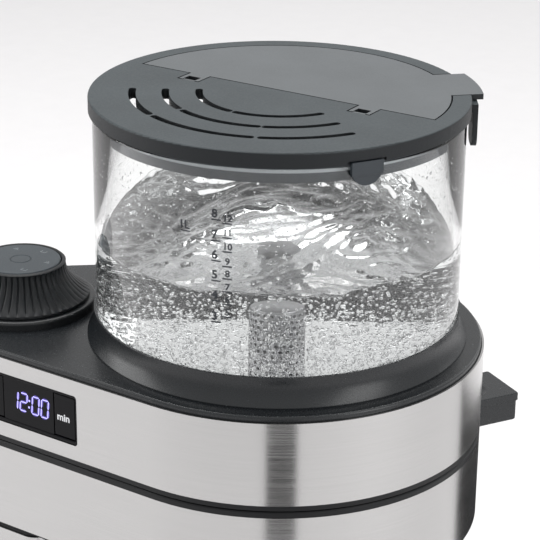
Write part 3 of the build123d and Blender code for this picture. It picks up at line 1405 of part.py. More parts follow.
LEVER_W = HANDLE_W - 2 * CHEEK_T - 2 * MOVING_GAP
LEVER_HUB_R = 2.4
LEVER_Z = LEVER_PIVOT[1] + 1.0
PAD_RISE = 2.5
with BuildPart() as carafe_lever:
    with BuildSketch(HANDLE_SECTION.offset(-LEVER_W / 2)):
        with BuildLine():
            Polyline(
                (COLLAR_OUT_R + COLLAR_EDGE, LEVER_Z),
                (LEVER_PIVOT[0] + 10.0, LEVER_Z),
                (LEVER_PIVOT[0] + 19.0, LEVER_Z + PAD_RISE),
            )
        trace(line_width=LEVER_T)
        with Locations(LEVER_PIVOT):
            Circle(LEVER_HUB_R)
    extrude(amount=LEVER_W)
    with BuildSketch(HANDLE_SECTION.offset(-LEVER_W / 2)):
        with Locations(LEVER_PIVOT):
            Circle(PIN_R + RUNNING)
    extrude(amount=LEVER_W, mode=Mode.SUBTRACT)
save(carafe_lever, "carafe_lever")

with BuildPart() as lever_pin:
    with BuildSketch(HANDLE_SECTION.offset(-HANDLE_W / 2)):
        with Locations(LEVER_PIVOT):
            Circle(PIN_R)
    extrude(amount=HANDLE_W)
save(lever_pin, "lever_pin")

PLUG_R = MOUTH_R - MOVING_GAP
INLET_R = 7.0
with BuildPart() as carafe_lid:
    with BuildSketch(MAIN_SECTION):
        add(outline(
            (INLET_R - 2.0, NECK_Z - 6.0),
            (PLUG_R - 2.5, NECK_Z - 6.0),
            (PLUG_R, NECK_Z - 2.0),
            (PLUG_R, CARAFE_COLLAR_Z + MOVING_GAP),
            (COLLAR_OUT_R - 2.0, CARAFE_COLLAR_Z + MOVING_GAP),
            (COLLAR_OUT_R - 2.0, CARAFE_LID_TOP - 2.0),
            (COLLAR_OUT_R - 4.0, CARAFE_LID_TOP),
            (INLET_R + 14.0, CARAFE_LID_TOP - 1.0),
            (INLET_R, CARAFE_LID_TOP - 6.0),
            (INLET_R - 2.0, CARAFE_LID_TOP - 8.0),
        ))
    revolve(axis=Axis.Z)
save(carafe_lid, "carafe_lid")
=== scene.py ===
"""Looks of the filter coffee machine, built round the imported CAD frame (metres, +Z up)."""
import json
import math
import random

import bmesh
import bpy
from mathutils import Matrix, Vector, noise


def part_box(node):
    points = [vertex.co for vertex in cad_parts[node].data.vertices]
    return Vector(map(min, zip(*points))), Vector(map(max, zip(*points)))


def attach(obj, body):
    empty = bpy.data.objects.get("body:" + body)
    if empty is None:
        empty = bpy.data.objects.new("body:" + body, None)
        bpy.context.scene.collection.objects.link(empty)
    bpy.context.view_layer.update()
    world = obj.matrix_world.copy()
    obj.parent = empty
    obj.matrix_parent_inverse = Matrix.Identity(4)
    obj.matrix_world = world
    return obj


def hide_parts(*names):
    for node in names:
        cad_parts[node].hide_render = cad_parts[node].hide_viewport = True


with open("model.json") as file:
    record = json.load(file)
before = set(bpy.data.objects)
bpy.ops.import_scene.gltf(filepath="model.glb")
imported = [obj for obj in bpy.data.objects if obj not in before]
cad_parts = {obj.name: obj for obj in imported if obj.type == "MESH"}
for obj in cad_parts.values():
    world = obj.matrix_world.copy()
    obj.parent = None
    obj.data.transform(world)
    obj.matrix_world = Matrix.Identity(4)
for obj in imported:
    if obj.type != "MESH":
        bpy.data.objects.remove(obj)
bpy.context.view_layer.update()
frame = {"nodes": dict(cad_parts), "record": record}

MM = 0.001
NODES = frame["nodes"]
glass_low, glass_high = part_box("glass_vessel")
GLASS_R = glass_high.x
GLASS_FOOT = glass_low.z
GLASS_TOP = glass_high.z
GLASS_T = 3.0 * MM
GLASS_IN = GLASS_R - GLASS_T


# ---------------------------------------------------------------- materials

def start_material(name):
    """A new node material with its Principled shader."""
    mat = bpy.data.materials.new(name)
    mat.use_nodes = True
    return mat, mat.node_tree, mat.node_tree.nodes["Principled BSDF"]


def set_inputs(shader, values):
    """Sets a node's own sockets by name."""
    for socket, value in values.items():
        shader.inputs[socket].default_value = value


def noise_field(tree, scale, stretch=(1.0, 1.0, 1.0), detail=5.0, roughness=0.6):
    """A noise value over the object's own coordinates, in cycles per metre."""
    coords = tree.nodes.new("ShaderNodeTexCoord")
    mapping = tree.nodes.new("ShaderNodeMapping")
    mapping.inputs["Scale"].default_value = stretch
    field = tree.nodes.new("ShaderNodeTexNoise")
    field.inputs["Scale"].default_value = scale
    field.inputs["Detail"].default_value = detail
    field.inputs["Roughness"].default_value = roughness
    tree.links.new(coords.outputs["Object"], mapping.inputs["Vector"])
    tree.links.new(mapping.outputs["Vector"], field.inputs["Vector"])
    return field.outputs["Fac"]


def spread(tree, value, low, high, low_in=0.3, high_in=0.7):
    """Maps a noise value onto a range."""
    ranged = tree.nodes.new("ShaderNodeMapRange")
    set_inputs(ranged, {"From Min": low_in, "From Max": high_in, "To Min": low, "To Max": high})
    tree.links.new(value, ranged.inputs["Value"])
    return ranged.outputs["Result"]


def tint(tree, shader, value, colour, change):
    """Base colour that varies by a share of itself."""
    ramp = tree.nodes.new("ShaderNodeValToRGB")
    ramp.color_ramp.elements[0].position = 0.3
    ramp.color_ramp.elements[1].position = 0.7
    ramp.color_ramp.elements[0].color = (*[c * (1 - change) for c in colour], 1)
    ramp.color_ramp.elements[1].color = (*[min(1.0, c * (1 + change)) for c in colour], 1)
    tree.links.new(value, ramp.inputs["Fac"])
    tree.links.new(ramp.outputs["Color"], shader.inputs["Base Color"])


def bump(tree, shader, value, depth, strength=1.0, edge=0.0):
    """Surface relief of a given depth in metres, over edges rounded by a given radius."""
    relief = tree.nodes.new("ShaderNodeBump")
    set_inputs(relief, {"Distance": depth, "Strength": strength})
    tree.links.new(value, relief.inputs["Height"])
    if edge:
        soft = tree.nodes.new("ShaderNodeBevel")
        soft.samples = 4
        soft.inputs["Radius"].default_value = edge
        tree.links.new(soft.outputs["Normal"], relief.inputs["Normal"])
    tree.links.new(relief.outputs["Normal"], shader.inputs["Normal"])


def moulded(name, colour, rough, grain=1900.0, depth=0.00003, change=0.06, edge=0.00035, **more):
    """Moulded plastic or rubber: eroded grain, slight clouding and worn sheen."""
    mat, tree, shader = start_material(name)
    fine = noise_field(tree, grain, detail=3.0)
    broad = noise_field(tree, 45.0, detail=4.0)
    tint(tree, shader, broad, colour, change)
    tree.links.new(spread(tree, fine, rough - 0.05, rough + 0.07), shader.inputs["Roughness"])
    bump(tree, shader, fine, depth, edge=edge)
    set_inputs(shader, more)
    return mat


def brushed(name, colour, rough, stretch, depth=0.000012, change=0.1, **more):
    """Brushed metal whose lines follow the directions of least stretch."""
    mat, tree, shader = start_material(name)
    lines = noise_field(tree, 1.0, stretch, detail=5.0, roughness=0.7)
    broad = noise_field(tree, 12.0, (1.0, 1.0, 3.0), detail=3.0)
    tint(tree, shader, lines, colour, change)
    both = tree.nodes.new("ShaderNodeMath")
    both.operation = "ADD"
    tree.links.new(spread(tree, lines, rough - 0.05, rough + 0.06), both.inputs[0])
    tree.links.new(spread(tree, broad, -0.02, 0.03), both.inputs[1])
    tree.links.new(both.outputs["Value"], shader.inputs["Roughness"])
    bump(tree, shader, lines, depth)
    set_inputs(shader, {"Metallic": 1.0, **more})
    return mat


def clear(name, colour, ior, rough, depth, scale=120.0):
    """A clear body, faintly uneven."""
    mat, tree, shader = start_material(name)
    wave = noise_field(tree, scale, detail=3.0)
    tree.links.new(spread(tree, wave, rough * 0.5, rough * 1.5), shader.inputs["Roughness"])
    bump(tree, shader, wave, depth)
    set_inputs(shader, {
        "Base Color": (*colour, 1), "Transmission Weight": 1.0, "IOR": ior,
    })
    return mat


def glowing(name, colour, strength):
    """A lit segment, a little uneven over its area."""
    mat, tree, shader = start_material(name)
    patch = noise_field(tree, 600.0)
    tint(tree, shader, patch, colour, 0.1)
    tree.links.new(spread(tree, patch, 0.25, 0.4), shader.inputs["Roughness"])
    bump(tree, shader, patch, 0.00001)
    set_inputs(shader, {"Emission Color": (*colour, 1), "Emission Strength": strength})
    return mat


def darker_sides(mat, colour):
    """Paints shade into the colour: upright faces get a darker colour than the faces that look up, as the
    light falls from above.
    """
    tree = mat.node_tree
    shader = tree.nodes["Principled BSDF"]
    top = shader.inputs["Base Color"].links[0].from_socket
    facing = tree.nodes.new("ShaderNodeNewGeometry")
    split = tree.nodes.new("ShaderNodeSeparateXYZ")
    mix = tree.nodes.new("ShaderNodeMixRGB")
    mix.inputs["Color1"].default_value = (*colour, 1)
    tree.links.new(facing.outputs["Normal"], split.inputs["Vector"])
    tree.links.new(spread(tree, split.outputs["Z"], 0.0, 1.0, 0.3, 0.75), mix.inputs["Fac"])
    tree.links.new(top, mix.inputs["Color2"])
    tree.links.new(mix.outputs["Color"], shader.inputs["Base Color"])
    return mat


def seal_rubber(name, dark, rim_highlight, inner_r, step_z):
    """Silicone, dark in its pull tab and lower lip, with a light band painted at its top inside the glass
    rim: a painted highlight standing in for the rim's bright line.
    """
    mat = moulded(name, dark, 0.38, depth=0.00001)
    tree = mat.node_tree
    shader = tree.nodes["Principled BSDF"]
    base = shader.inputs["Base Color"].links[0].from_socket
    coords = tree.nodes.new("ShaderNodeTexCoord")
    split = tree.nodes.new("ShaderNodeSeparateXYZ")
    flat = tree.nodes.new("ShaderNodeVectorMath")
    flat.operation = "MULTIPLY"
    flat.inputs[1].default_value = (1.0, 1.0, 0.0)
    reach = tree.nodes.new("ShaderNodeVectorMath")
    reach.operation = "LENGTH"
    both = tree.nodes.new("ShaderNodeMath")
    both.operation = "MULTIPLY"
    mix = tree.nodes.new("ShaderNodeMixRGB")
    mix.inputs["Color2"].default_value = (*rim_highlight, 1)
    tree.links.new(coords.outputs["Object"], split.inputs["Vector"])
    tree.links.new(coords.outputs["Object"], flat.inputs[0])
    tree.links.new(flat.outputs["Vector"], reach.inputs[0])
    # Mask of the painted highlight: the seal's top band, inside the glass rim.
    high = spread(tree, split.outputs["Z"], 0.0, 1.0, step_z - 0.2 * MM, step_z + 0.2 * MM)
    inside = spread(tree, reach.outputs["Value"], 1.0, 0.0, inner_r, inner_r + 0.3 * MM)
    tree.links.new(high, both.inputs[0])
    tree.links.new(inside, both.inputs[1])
    tree.links.new(both.outputs["Value"], mix.inputs["Fac"])
    tree.links.new(base, mix.inputs["Color1"])
    tree.links.new(mix.outputs["Color"], shader.inputs["Base Color"])
    return mat


DULL = {"Specular IOR Level": 0.3}
# Height of the light band painted on the seal at the glass rim, a painted highlight.
RIM_HIGHLIGHT_H = 2.3 * MM
LOOKS = {
    # The lid and flap get painted shade: their upright sides take the darker second colour and their tops
    # the lighter one, as the light falls from above.
    "lid_plastic": darker_sides(
        moulded("lid_plastic", (0.05, 0.06, 0.065), 0.5, grain=1500.0, depth=0.00005, change=0.1, **DULL),
        (0.011, 0.013, 0.015),
    ),
    "flap_plastic": darker_sides(
        moulded("flap_plastic", (0.108, 0.117, 0.123), 0.42, grain=2600.0, depth=0.000015, **DULL),
        (0.014, 0.016, 0.018),
    ),
    "deck_plastic": moulded("deck_plastic", (0.011, 0.013, 0.015), 0.27, depth=0.00001),
    "black_plastic": moulded("black_plastic", (0.005, 0.0055, 0.0065), 0.4, **DULL),
    "knob_plastic": moulded("knob_plastic", (0.009, 0.0105, 0.012), 0.36, **DULL),
    "disc_plastic": moulded("disc_plastic", (0.05, 0.06, 0.068), 0.4, depth=0.000015, **DULL),
    "ring_plastic": moulded("ring_plastic", (0.012, 0.0135, 0.015), 0.3, depth=0.00001),
    "steel_brushed": brushed(
        "steel_brushed", (0.53, 0.525, 0.52), 0.19, (22.0, 22.0, 5200.0), depth=0.000005, change=0.07,
        **{"Anisotropic": 0.7, "Anisotropic Rotation": 0.25},
    ),
    "steel_plain": brushed("steel_plain", (0.62, 0.62, 0.63), 0.24, (900.0, 900.0, 900.0)),
    "vessel_glass": clear("vessel_glass", (0.985, 0.993, 0.99), 1.47, 0.004, 0.000002, 60.0),
    # The seal's light band at the top of the glass rim is a painted highlight.
    "silicone": seal_rubber(
        "silicone", (0.022, 0.029, 0.036), (0.42, 0.45, 0.47),
        GLASS_R - GLASS_T / 2, GLASS_TOP - RIM_HIGHLIGHT_H,
    ),
    "rubber_black": moulded("rubber_black", (0.02, 0.02, 0.021), 0.7, grain=1400.0),
    "panel_black": moulded(
        "panel_black", (0.003, 0.003, 0.004), 0.16, depth=0.000004, **{"Specular IOR Level": 0.15}
    ),
    "board_green": moulded("board_green", (0.02, 0.11, 0.045), 0.4),
    "copper_coil": brushed("copper_coil", (0.62, 0.27, 0.11), 0.3, (60.0, 60.0, 3000.0)),
    "spring_steel": brushed("spring_steel", (0.7, 0.7, 0.72), 0.18, (700.0, 700.0, 700.0)),
    "terminal_white": moulded("terminal_white", (0.7, 0.7, 0.66), 0.5),
    "wire_insulation": moulded("wire_insulation", (0.2, 0.2, 0.22), 0.5),
}
WATER = clear("water", (0.985, 0.99, 0.992), 1.333, 0.015, 0.00001, 90.0)
BUBBLE_SKIN = clear("bubble_skin", (0.99, 0.993, 0.995), 1.333, 0.003, 0.00001, 90.0)
PRINT_DARK = moulded("print_dark", (0.02, 0.024, 0.03), 0.5, depth=0.000004, edge=0.0)
PRINT_LIGHT = moulded("print_light", (0.75, 0.76, 0.78), 0.45, depth=0.000004, edge=0.0)
PRINT_GREY = moulded("print_grey", (0.3, 0.32, 0.34), 0.45, depth=0.000004, edge=0.0)
DIGIT_GLOW = glowing("digit_glow", (0.45, 0.42, 1.0), 0.8)
HALO_GLOW = glowing("halo_glow", (0.045, 0.03, 0.22), 0.5)
SIEVE_STEEL = brushed("sieve_steel", (0.36, 0.36, 0.37), 0.32, (900.0, 900.0, 900.0))

for row in frame["record"]["subparts"]:
    part = NODES[row["node"]]
    part.data.materials.clear()
    part.data.materials.append(LOOKS[row["material_slot"]])

tangent_tree = LOOKS["steel_brushed"].node_tree
tangent = tangent_tree.nodes.new("ShaderNodeTangent")
tangent.direction_type = "RADIAL"
tangent.axis = "Z"
tangent_tree.links.new(
    tangent.outputs["Tangent"], tangent_tree.nodes["Principled BSDF"].inputs["Tangent"]
)


# ---------------------------------------------------------------- mesh helpers

def place(name, verts, faces, mat, body, slot=None, sharp=35.0, shadow=True):
    """Makes a mesh piece in the row frame and lets it ride on a body."""
    mesh = bpy.data.meshes.new(name)
    mesh.from_pydata(verts, [], faces)
    mesh.validate()
    work = bmesh.new()
    work.from_mesh(mesh)
    for face in work.faces:
        face.smooth = True
    for edge in work.edges:
        if len(edge.link_faces) == 2 and edge.calc_face_angle(0.0) > math.radians(sharp):
            edge.smooth = False
    work.to_mesh(mesh)
    work.free()
    mesh.materials.append(mat)
    piece = bpy.data.objects.new(name, mesh)
    bpy.context.scene.collection.objects.link(piece)
    piece.visible_shadow = shadow
    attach(piece, body)
    return piece


def lathe(profile, centre=(0.0, 0.0), steps=256, radius_at=None):
    """Vertices and faces of a closed profile of (radius, height) turned about a vertical axis."""
    verts, faces = [], []
    count = len(profile)
    for i in range(steps):
        turn = 2 * math.pi * i / steps
        for j, (r, z) in enumerate(profile):
            rr = radius_at(turn, j, r) if radius_at else r
            verts.append((centre[0] + rr * math.cos(turn), centre[1] + rr * math.sin(turn), z))
    for i in range(steps):
        for j in range(count):
            a = i * count + j
            b = i * count + (j + 1) % count
            c = (i + 1) % steps * count + (j + 1) % count
            d = (i + 1) % steps * count + j
            faces.append((a, d, c, b))
    return verts, faces


def rounded(points, radius, steps=4):
    """A profile with each corner rounded by a small arc."""
    out = []
    for i, p in enumerate(points):
        before = Vector(points[i - 1]) - Vector(p)
        after = Vector(points[(i + 1) % len(points)]) - Vector(p)
        cut = min(radius, before.length / 2.2, after.length / 2.2)
        start = Vector(p) + before.normalized() * cut
        end = Vector(p) + after.normalized() * cut
        for k in range(steps + 1):
            t = k / steps
            q = start * (1 - t) ** 2 + Vector(p) * 2 * t * (1 - t) + end * t * t
            out.append((q.x, q.y))
    return out


def text_mesh(text, height):
    """Flat letter shapes: vertices centred on x, standing on y = 0, and faces."""
    curve = bpy.data.curves.new("letters", "FONT")
    curve.body = text
    curve.size = height / 0.7
    curve.align_x = "CENTER"
    curve.resolution_u = 5
    curve.offset = 0.03 * curve.size
    holder = bpy.data.objects.new("letters", curve)
    mesh = bpy.data.meshes.new_from_object(holder)
    verts = [v.co.copy() for v in mesh.vertices]
    faces = [tuple(p.vertices) for p in mesh.polygons]
    bpy.data.objects.remove(holder)
    bpy.data.meshes.remove(mesh)
    return verts, faces


def gather(parts):
    """Joins (vertices, faces) pairs into one."""
    verts, faces = [], []
    for v, f in parts:
        base = len(verts)
        verts += list(v)
        faces += [tuple(i + base for i in face) for face in f]
    return verts, faces


def bar(x0, x1, y0, y1, columns=1):
    """A flat rectangle, split in columns so that it can bend."""
    xs = [x0 + (x1 - x0) * i / columns for i in range(columns + 1)]
    verts = [Vector((x, y, 0)) for x in xs for y in (y0, y1)]
    return verts, [(2 * i, 2 * i + 2, 2 * i + 3, 2 * i + 1) for i in range(columns)]


# ---------------------------------------------------------------- studio

CAMERA_AT = Vector((0.42174, -0.62211, 0.60101))
CAMERA_ROLL = math.radians(0.717)
FORWARD = Vector((-0.5207, 0.7681, -0.3726)).normalized()
RIGHT = FORWARD.cross(Vector((0, 0, 1))).normalized()
UP = RIGHT.cross(FORWARD)

camera = bpy.data.objects.new("camera", bpy.data.cameras.new("camera"))
camera_x = RIGHT * math.cos(CAMERA_ROLL) + UP * math.sin(CAMERA_ROLL)
camera_y = UP * math.cos(CAMERA_ROLL) - RIGHT * math.sin(CAMERA_ROLL)
camera.matrix_world = Matrix((
    (camera_x.x, camera_y.x, -FORWARD.x, CAMERA_AT.x),
    (camera_x.y, camera_y.y, -FORWARD.y, CAMERA_AT.y),
    (camera_x.z, camera_y.z, -FORWARD.z, CAMERA_AT.z),
    (0, 0, 0, 1),
))
camera.data.lens = 135.25
camera.data.sensor_width = 36.0
camera.data.shift_x = -0.0143
camera.data.shift_y = -0.0038
bpy.context.scene.collection.objects.link(camera)
bpy.context.scene.camera = camera
bpy.context.scene.view_settings.view_transform = "Standard"


def staged_plane(name, centre, facing, width, height, mat):
    """A flat sheet of the studio, turned to face a direction."""
    mesh = bpy.data.meshes.new(name)
    verts, faces = bar(-width / 2, width / 2, -height / 2, height / 2)
    mesh.from_pydata(verts, [], faces)
    mesh.materials.append(mat)
    sheet = bpy.data.objects.new(name, mesh)
    sheet.location = centre
    sheet.rotation_euler = Vector(facing).to_track_quat("Z", "Y").to_euler()
    bpy.context.scene.collection.objects.link(sheet)
    return sheet


FLOOR_LOOK = moulded("floor_pale", (0.8, 0.79, 0.795), 0.8, grain=300.0, change=0.01, edge=0.0)
CARD_LOOK = moulded("card_black", (0.012, 0.012, 0.013), 0.9, grain=300.0, edge=0.0)
FLOOR_SIZE = 8.0
staged_plane("floor", (0, 0, 0), (0, 0, 1), FLOOR_SIZE, FLOOR_SIZE, FLOOR_LOOK)


def dark_card(name, turn, distance, height, width, tall):
    """A black card that only reflections see, facing the machine from a direction in plan."""
    away = Vector((math.cos(math.radians(turn)), math.sin(math.radians(turn)), 0))
    card = staged_plane(name, away * distance + Vector((0, 0, height)), -away, width, tall, CARD_LOOK)
    card.visible_camera = False
    card.visible_diffuse = False
    card.visible_shadow = False
    card.visible_transmission = False
    card.visible_volume_scatter = False


CARDS = (
    # name, turn in degrees, distance, height of its middle, width, height
    ("card_front", -53.0, 0.42, 0.07, 0.11, 0.138),
    ("card_right", 88.0, 0.3, 0.0635, 0.38, 0.125),
)
for card_values in CARDS:
    dark_card(*card_values)


def softbox(name, at, target, width, height, power):
    """A rectangular studio light."""
    lamp = bpy.data.lights.new(name, "AREA")
    lamp.shape = "RECTANGLE"
    lamp.size, lamp.size_y = width, height
    lamp.energy = power
    holder = bpy.data.objects.new(name, lamp)
    holder.location = at
    holder.rotation_euler = (Vector(target) - Vector(at)).to_track_quat("-Z", "Y").to_euler()
    bpy.context.scene.collection.objects.link(holder)


AIM = (0.0, 0.0, 0.28)
LIGHTS = (
    # name, place, width, height, watts
    ("light_top", (-0.25, 0.35, 1.7), 1.5, 1.1, 16.0),
    ("light_left", (-1.35, -0.75, 0.75), 0.9, 1.2, 10.0),
    ("light_right", (1.3, -0.1, 0.8), 0.6, 1.2, 6.0),
    ("light_back", (0.6, 2.3, 1.3), 1.6, 1.0, 5.0),
)
for light_name, light_at, light_w, light_h, watts in LIGHTS:
    softbox(light_name, light_at, AIM, light_w, light_h, watts)

world = bpy.data.worlds.new("studio")
bpy.context.scene.world = world
world.use_nodes = True
sky = world.node_tree
back = sky.nodes["Background"]
sky_coords = sky.nodes.new("ShaderNodeTexCoord")
sky_split = sky.nodes.new("ShaderNodeSeparateXYZ")
sky_ramp = sky.nodes.new("ShaderNodeValToRGB")
sky_ramp.color_ramp.elements[0].position = 0.35
sky_ramp.color_ramp.elements[0].color = (0.8, 0.8, 0.805, 1)
sky_ramp.color_ramp.elements[1].position = 0.8
sky_ramp.color_ramp.elements[1].color = (1, 1, 1, 1)
sky_half = sky.nodes.new("ShaderNodeMapRange")
set_inputs(sky_half, {"From Min": -1.0, "From Max": 1.0})
sky.links.new(sky_coords.outputs["Generated"], sky_split.inputs["Vector"])
sky.links.new(sky_split.outputs["Z"], sky_half.inputs["Value"])
sky.links.new(sky_half.outputs["Result"], sky_ramp.inputs["Fac"])
sky.links.new(sky_ramp.outputs["Color"], back.inputs["Color"])
back.inputs["Strength"].default_value = 0.75

# ---------------------------------------------------------------- glass vessel and its scales

glass_profile = rounded(
    [(GLASS_IN, GLASS_FOOT), (GLASS_R, GLASS_FOOT), (GLASS_R, GLASS_TOP), (GLASS_IN, GLASS_TOP)],
    0.4 * GLASS_T,
)
verts, faces = lathe(glass_profile, steps=320)
glass = place("glass_wall", verts, faces, LOOKS["vessel_glass"], "machine", "vessel_glass", shadow=False)
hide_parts("glass_vessel")

PRINT_GAP = 0.04 * MM


def on_glass(shape, turn, height):
    """Bends a flat shape round the outside of the glass at an angle in plan and a height above its foot."""
    verts, faces = shape
    bent = []
    for v in verts:
        a = math.radians(turn) + v.x / GLASS_R
        r = GLASS_R + PRINT_GAP
        bent.append((r * math.cos(a), r * math.sin(a), GLASS_FOOT + height + v.y))
    return bent, faces


CUPS_LARGE = ((8, 71.0), (7, 62.9), (6, 55.1), (5, 47.3), (4, 39.4), (3, 31.0))
CUPS_SMALL = (
    (12, 69.9), (11, 64.4), (10, 59.0), (9, 53.3), (8, 48.5), (7, 43.3), (6, 38.4), (5, 33.4)
)
LITRE_H = 64.9
TICK_T = 0.28 * MM
SCALES = (
    # marks, half a tick's length, its turn, the label's height, its turn and its rise over the tick
    (CUPS_LARGE, 1.8, -73.85, 3.2, -74.3, 0.9),
    (CUPS_SMALL, 1.8, -70.5, 2.5, -70.4, 0.8),
    ((("1L", LITRE_H),), 1.9, -83.5, 3.2, -83.9, 0.9),
)
marks = []
for scale, half, tick_turn, letter_h, letter_turn, rise in SCALES:
    for cups, height in scale:
        tick = bar(-half * MM, half * MM, -TICK_T, TICK_T, 4)
        marks.append(on_glass(tick, tick_turn, height * MM))
        marks.append(on_glass(text_mesh(str(cups), letter_h * MM), letter_turn, (height + rise) * MM))
verts, faces = gather(marks)
place("cup_scales", verts, faces, PRINT_DARK, "machine")

# ---------------------------------------------------------------- boiling water

WATER_LEVEL = GLASS_FOOT + 41.0 * MM
WATER_LAP = 0.1 * MM
WATER_R = GLASS_IN + WATER_LAP
FLOOR_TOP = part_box("vessel_floor")[1].z
SIEVE_LOW, SIEVE_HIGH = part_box("outlet_sieve")


def swirl(x, y):
    """Height of the boiling surface over its mean level."""
    p = Vector((x * 26, y * 26, 1.7))
    warp = Vector((noise.noise(p * 0.9), noise.noise(p * 0.9 + Vector((5.2, 1.3, 0))), 0)) * 1.6
    big = noise.noise(p * 0.8 + warp)
    mid = noise.noise(p * 2.1 + warp * 1.4 + Vector((3.1, 7.7, 0)))
    fine = noise.noise(p * 5.5 + warp * 2.0 + Vector((9.4, 2.2, 0)))
    crest = 1 - abs(noise.noise(p * 1.5 + warp * 1.9 + Vector((2.5, 4.4, 3.0)))) * 2.2
    ripple = noise.noise(p * 11.0 + warp * 3.0 + Vector((1.4, 8.2, 5.0)))
    return (1.9 * big + 1.1 * mid + 0.8 * fine + 0.4 * ripple + 0.8 * max(0.0, crest) ** 3) * MM


RINGS, SPOKES = 150, 420
MENISCUS_W, MENISCUS_H = 2.5 * MM, 1.2 * MM
WATER_FOOT = FLOOR_TOP + 0.05 * MM
verts = [(0.0, 0.0, WATER_LEVEL + swirl(0, 0))]
for ring in range(1, RINGS + 1):
    r = WATER_R * ring / RINGS
    edge = max(0.0, 1 - (WATER_R - r) / MENISCUS_W)
    for spoke in range(SPOKES):
        turn = 2 * math.pi * spoke / SPOKES
        x, y = r * math.cos(turn), r * math.sin(turn)
        verts.append((x, y, WATER_LEVEL + swirl(x, y) + MENISCUS_H * edge**2))
faces = [(0, 1 + s, 1 + (s + 1) % SPOKES) for s in range(SPOKES)]
for ring in range(1, RINGS):
    for s in range(SPOKES):
        a = 1 + (ring - 1) * SPOKES + s
        b = 1 + (ring - 1) * SPOKES + (s + 1) % SPOKES
        faces.append((a, a + SPOKES, b + SPOKES, b))
last = 1 + (RINGS - 1) * SPOKES
foot = len(verts)
for s in range(SPOKES):
    x, y, _ = verts[last + s]
    verts.append((x, y, WATER_FOOT))
for s in range(SPOKES):
    faces.append((last + s, foot + s, foot + (s + 1) % SPOKES, last + (s + 1) % SPOKES))
verts.append((0.0, 0.0, WATER_FOOT))
faces += [(foot + (s + 1) % SPOKES, foot + s, len(verts) - 1) for s in range(SPOKES)]
place("boiling_water", verts, faces, WATER, "machine", sharp=60.0, shadow=False)


def balls(spots, detail, inward=False, flat=1.0):
    """Small spheres at (x, y, z, radius), flattened along the radius from the axis where asked."""
    unit = bmesh.new()
    bmesh.ops.create_icosphere(unit, subdivisions=detail, radius=1.0)
    unit_verts = [v.co.copy() for v in unit.verts]
    unit_faces = [tuple(v.index for v in f.verts) for f in unit.faces]
    unit.free()
    if inward:
        unit_faces = [tuple(reversed(f)) for f in unit_faces]
    verts, faces = [], []
    for x, y, z, radius in spots:
        base = len(verts)
        out = Vector((x, y, 0)).normalized() if flat != 1.0 else Vector((0, 0, 0))
        for v in unit_verts:
            q = v - out * v.dot(out) * (1 - flat)
            verts.append((x + q.x * radius, y + q.y * radius, z + q.z * radius))
        faces += [tuple(i + base for i in f) for f in unit_faces]
    return verts, faces


BUBBLES, DROPS = 6500, 1500
NEAR_WALL_SHARE = 0.45
MEAN_RISE = 11.0 * MM
rng = random.Random(7)
bubbles = []
while len(bubbles) < BUBBLES:
    turn = rng.uniform(0, 2 * math.pi)
    r = WATER_R * math.sqrt(rng.uniform(0.0, 0.97))
    if rng.random() < NEAR_WALL_SHARE:
        r = WATER_R - rng.uniform(0.8, 6.0) * MM
    x, y = r * math.cos(turn), r * math.sin(turn)
    depth = WATER_LEVEL + swirl(x, y) - FLOOR_TOP - 1.5 * MM
    z = FLOOR_TOP + 0.9 * MM + min(rng.expovariate(1 / MEAN_RISE), depth)
    size = rng.uniform(0.2, 0.55) * MM * (1.6 if rng.random() < 0.1 else 1.0)
    if Vector((x, y)).length < SIEVE_HIGH.x + MM and z < SIEVE_HIGH.z + MM:
        continue
    bubbles.append((x, y, z, size))
verts, faces = balls(bubbles, 2, inward=True)
place("water_bubbles", verts, faces, BUBBLE_SKIN, "machine", sharp=180.0, shadow=False)

DROPS_LOW, DROPS_HIGH = WATER_LEVEL + 4.0 * MM, GLASS_TOP - 9.0 * MM
drops = []
for _ in range(DROPS):
    turn = rng.uniform(0, 2 * math.pi)
    z = rng.uniform(DROPS_LOW, DROPS_HIGH)
    size = rng.uniform(0.14, 0.4) * MM * (1.7 if rng.random() < 0.1 else 1.0)
    drops.append((GLASS_IN * math.cos(turn), GLASS_IN * math.sin(turn), z, size))
verts, faces = balls(drops, 2, flat=0.45)
place("glass_droplets", verts, faces, BUBBLE_SKIN, "machine", sharp=180.0, shadow=False)

# ---------------------------------------------------------------- perforated sieve

SIEVE_R = SIEVE_HIGH.x
COLUMNS, ROWS = 22, 7
HOLE_R = 0.62 * MM
HOLE_STEPS, RIM_STEPS = 16, 64
SIEVE_RIM = 1.2 * MM
SIEVE_SHEET = 0.4 * MM


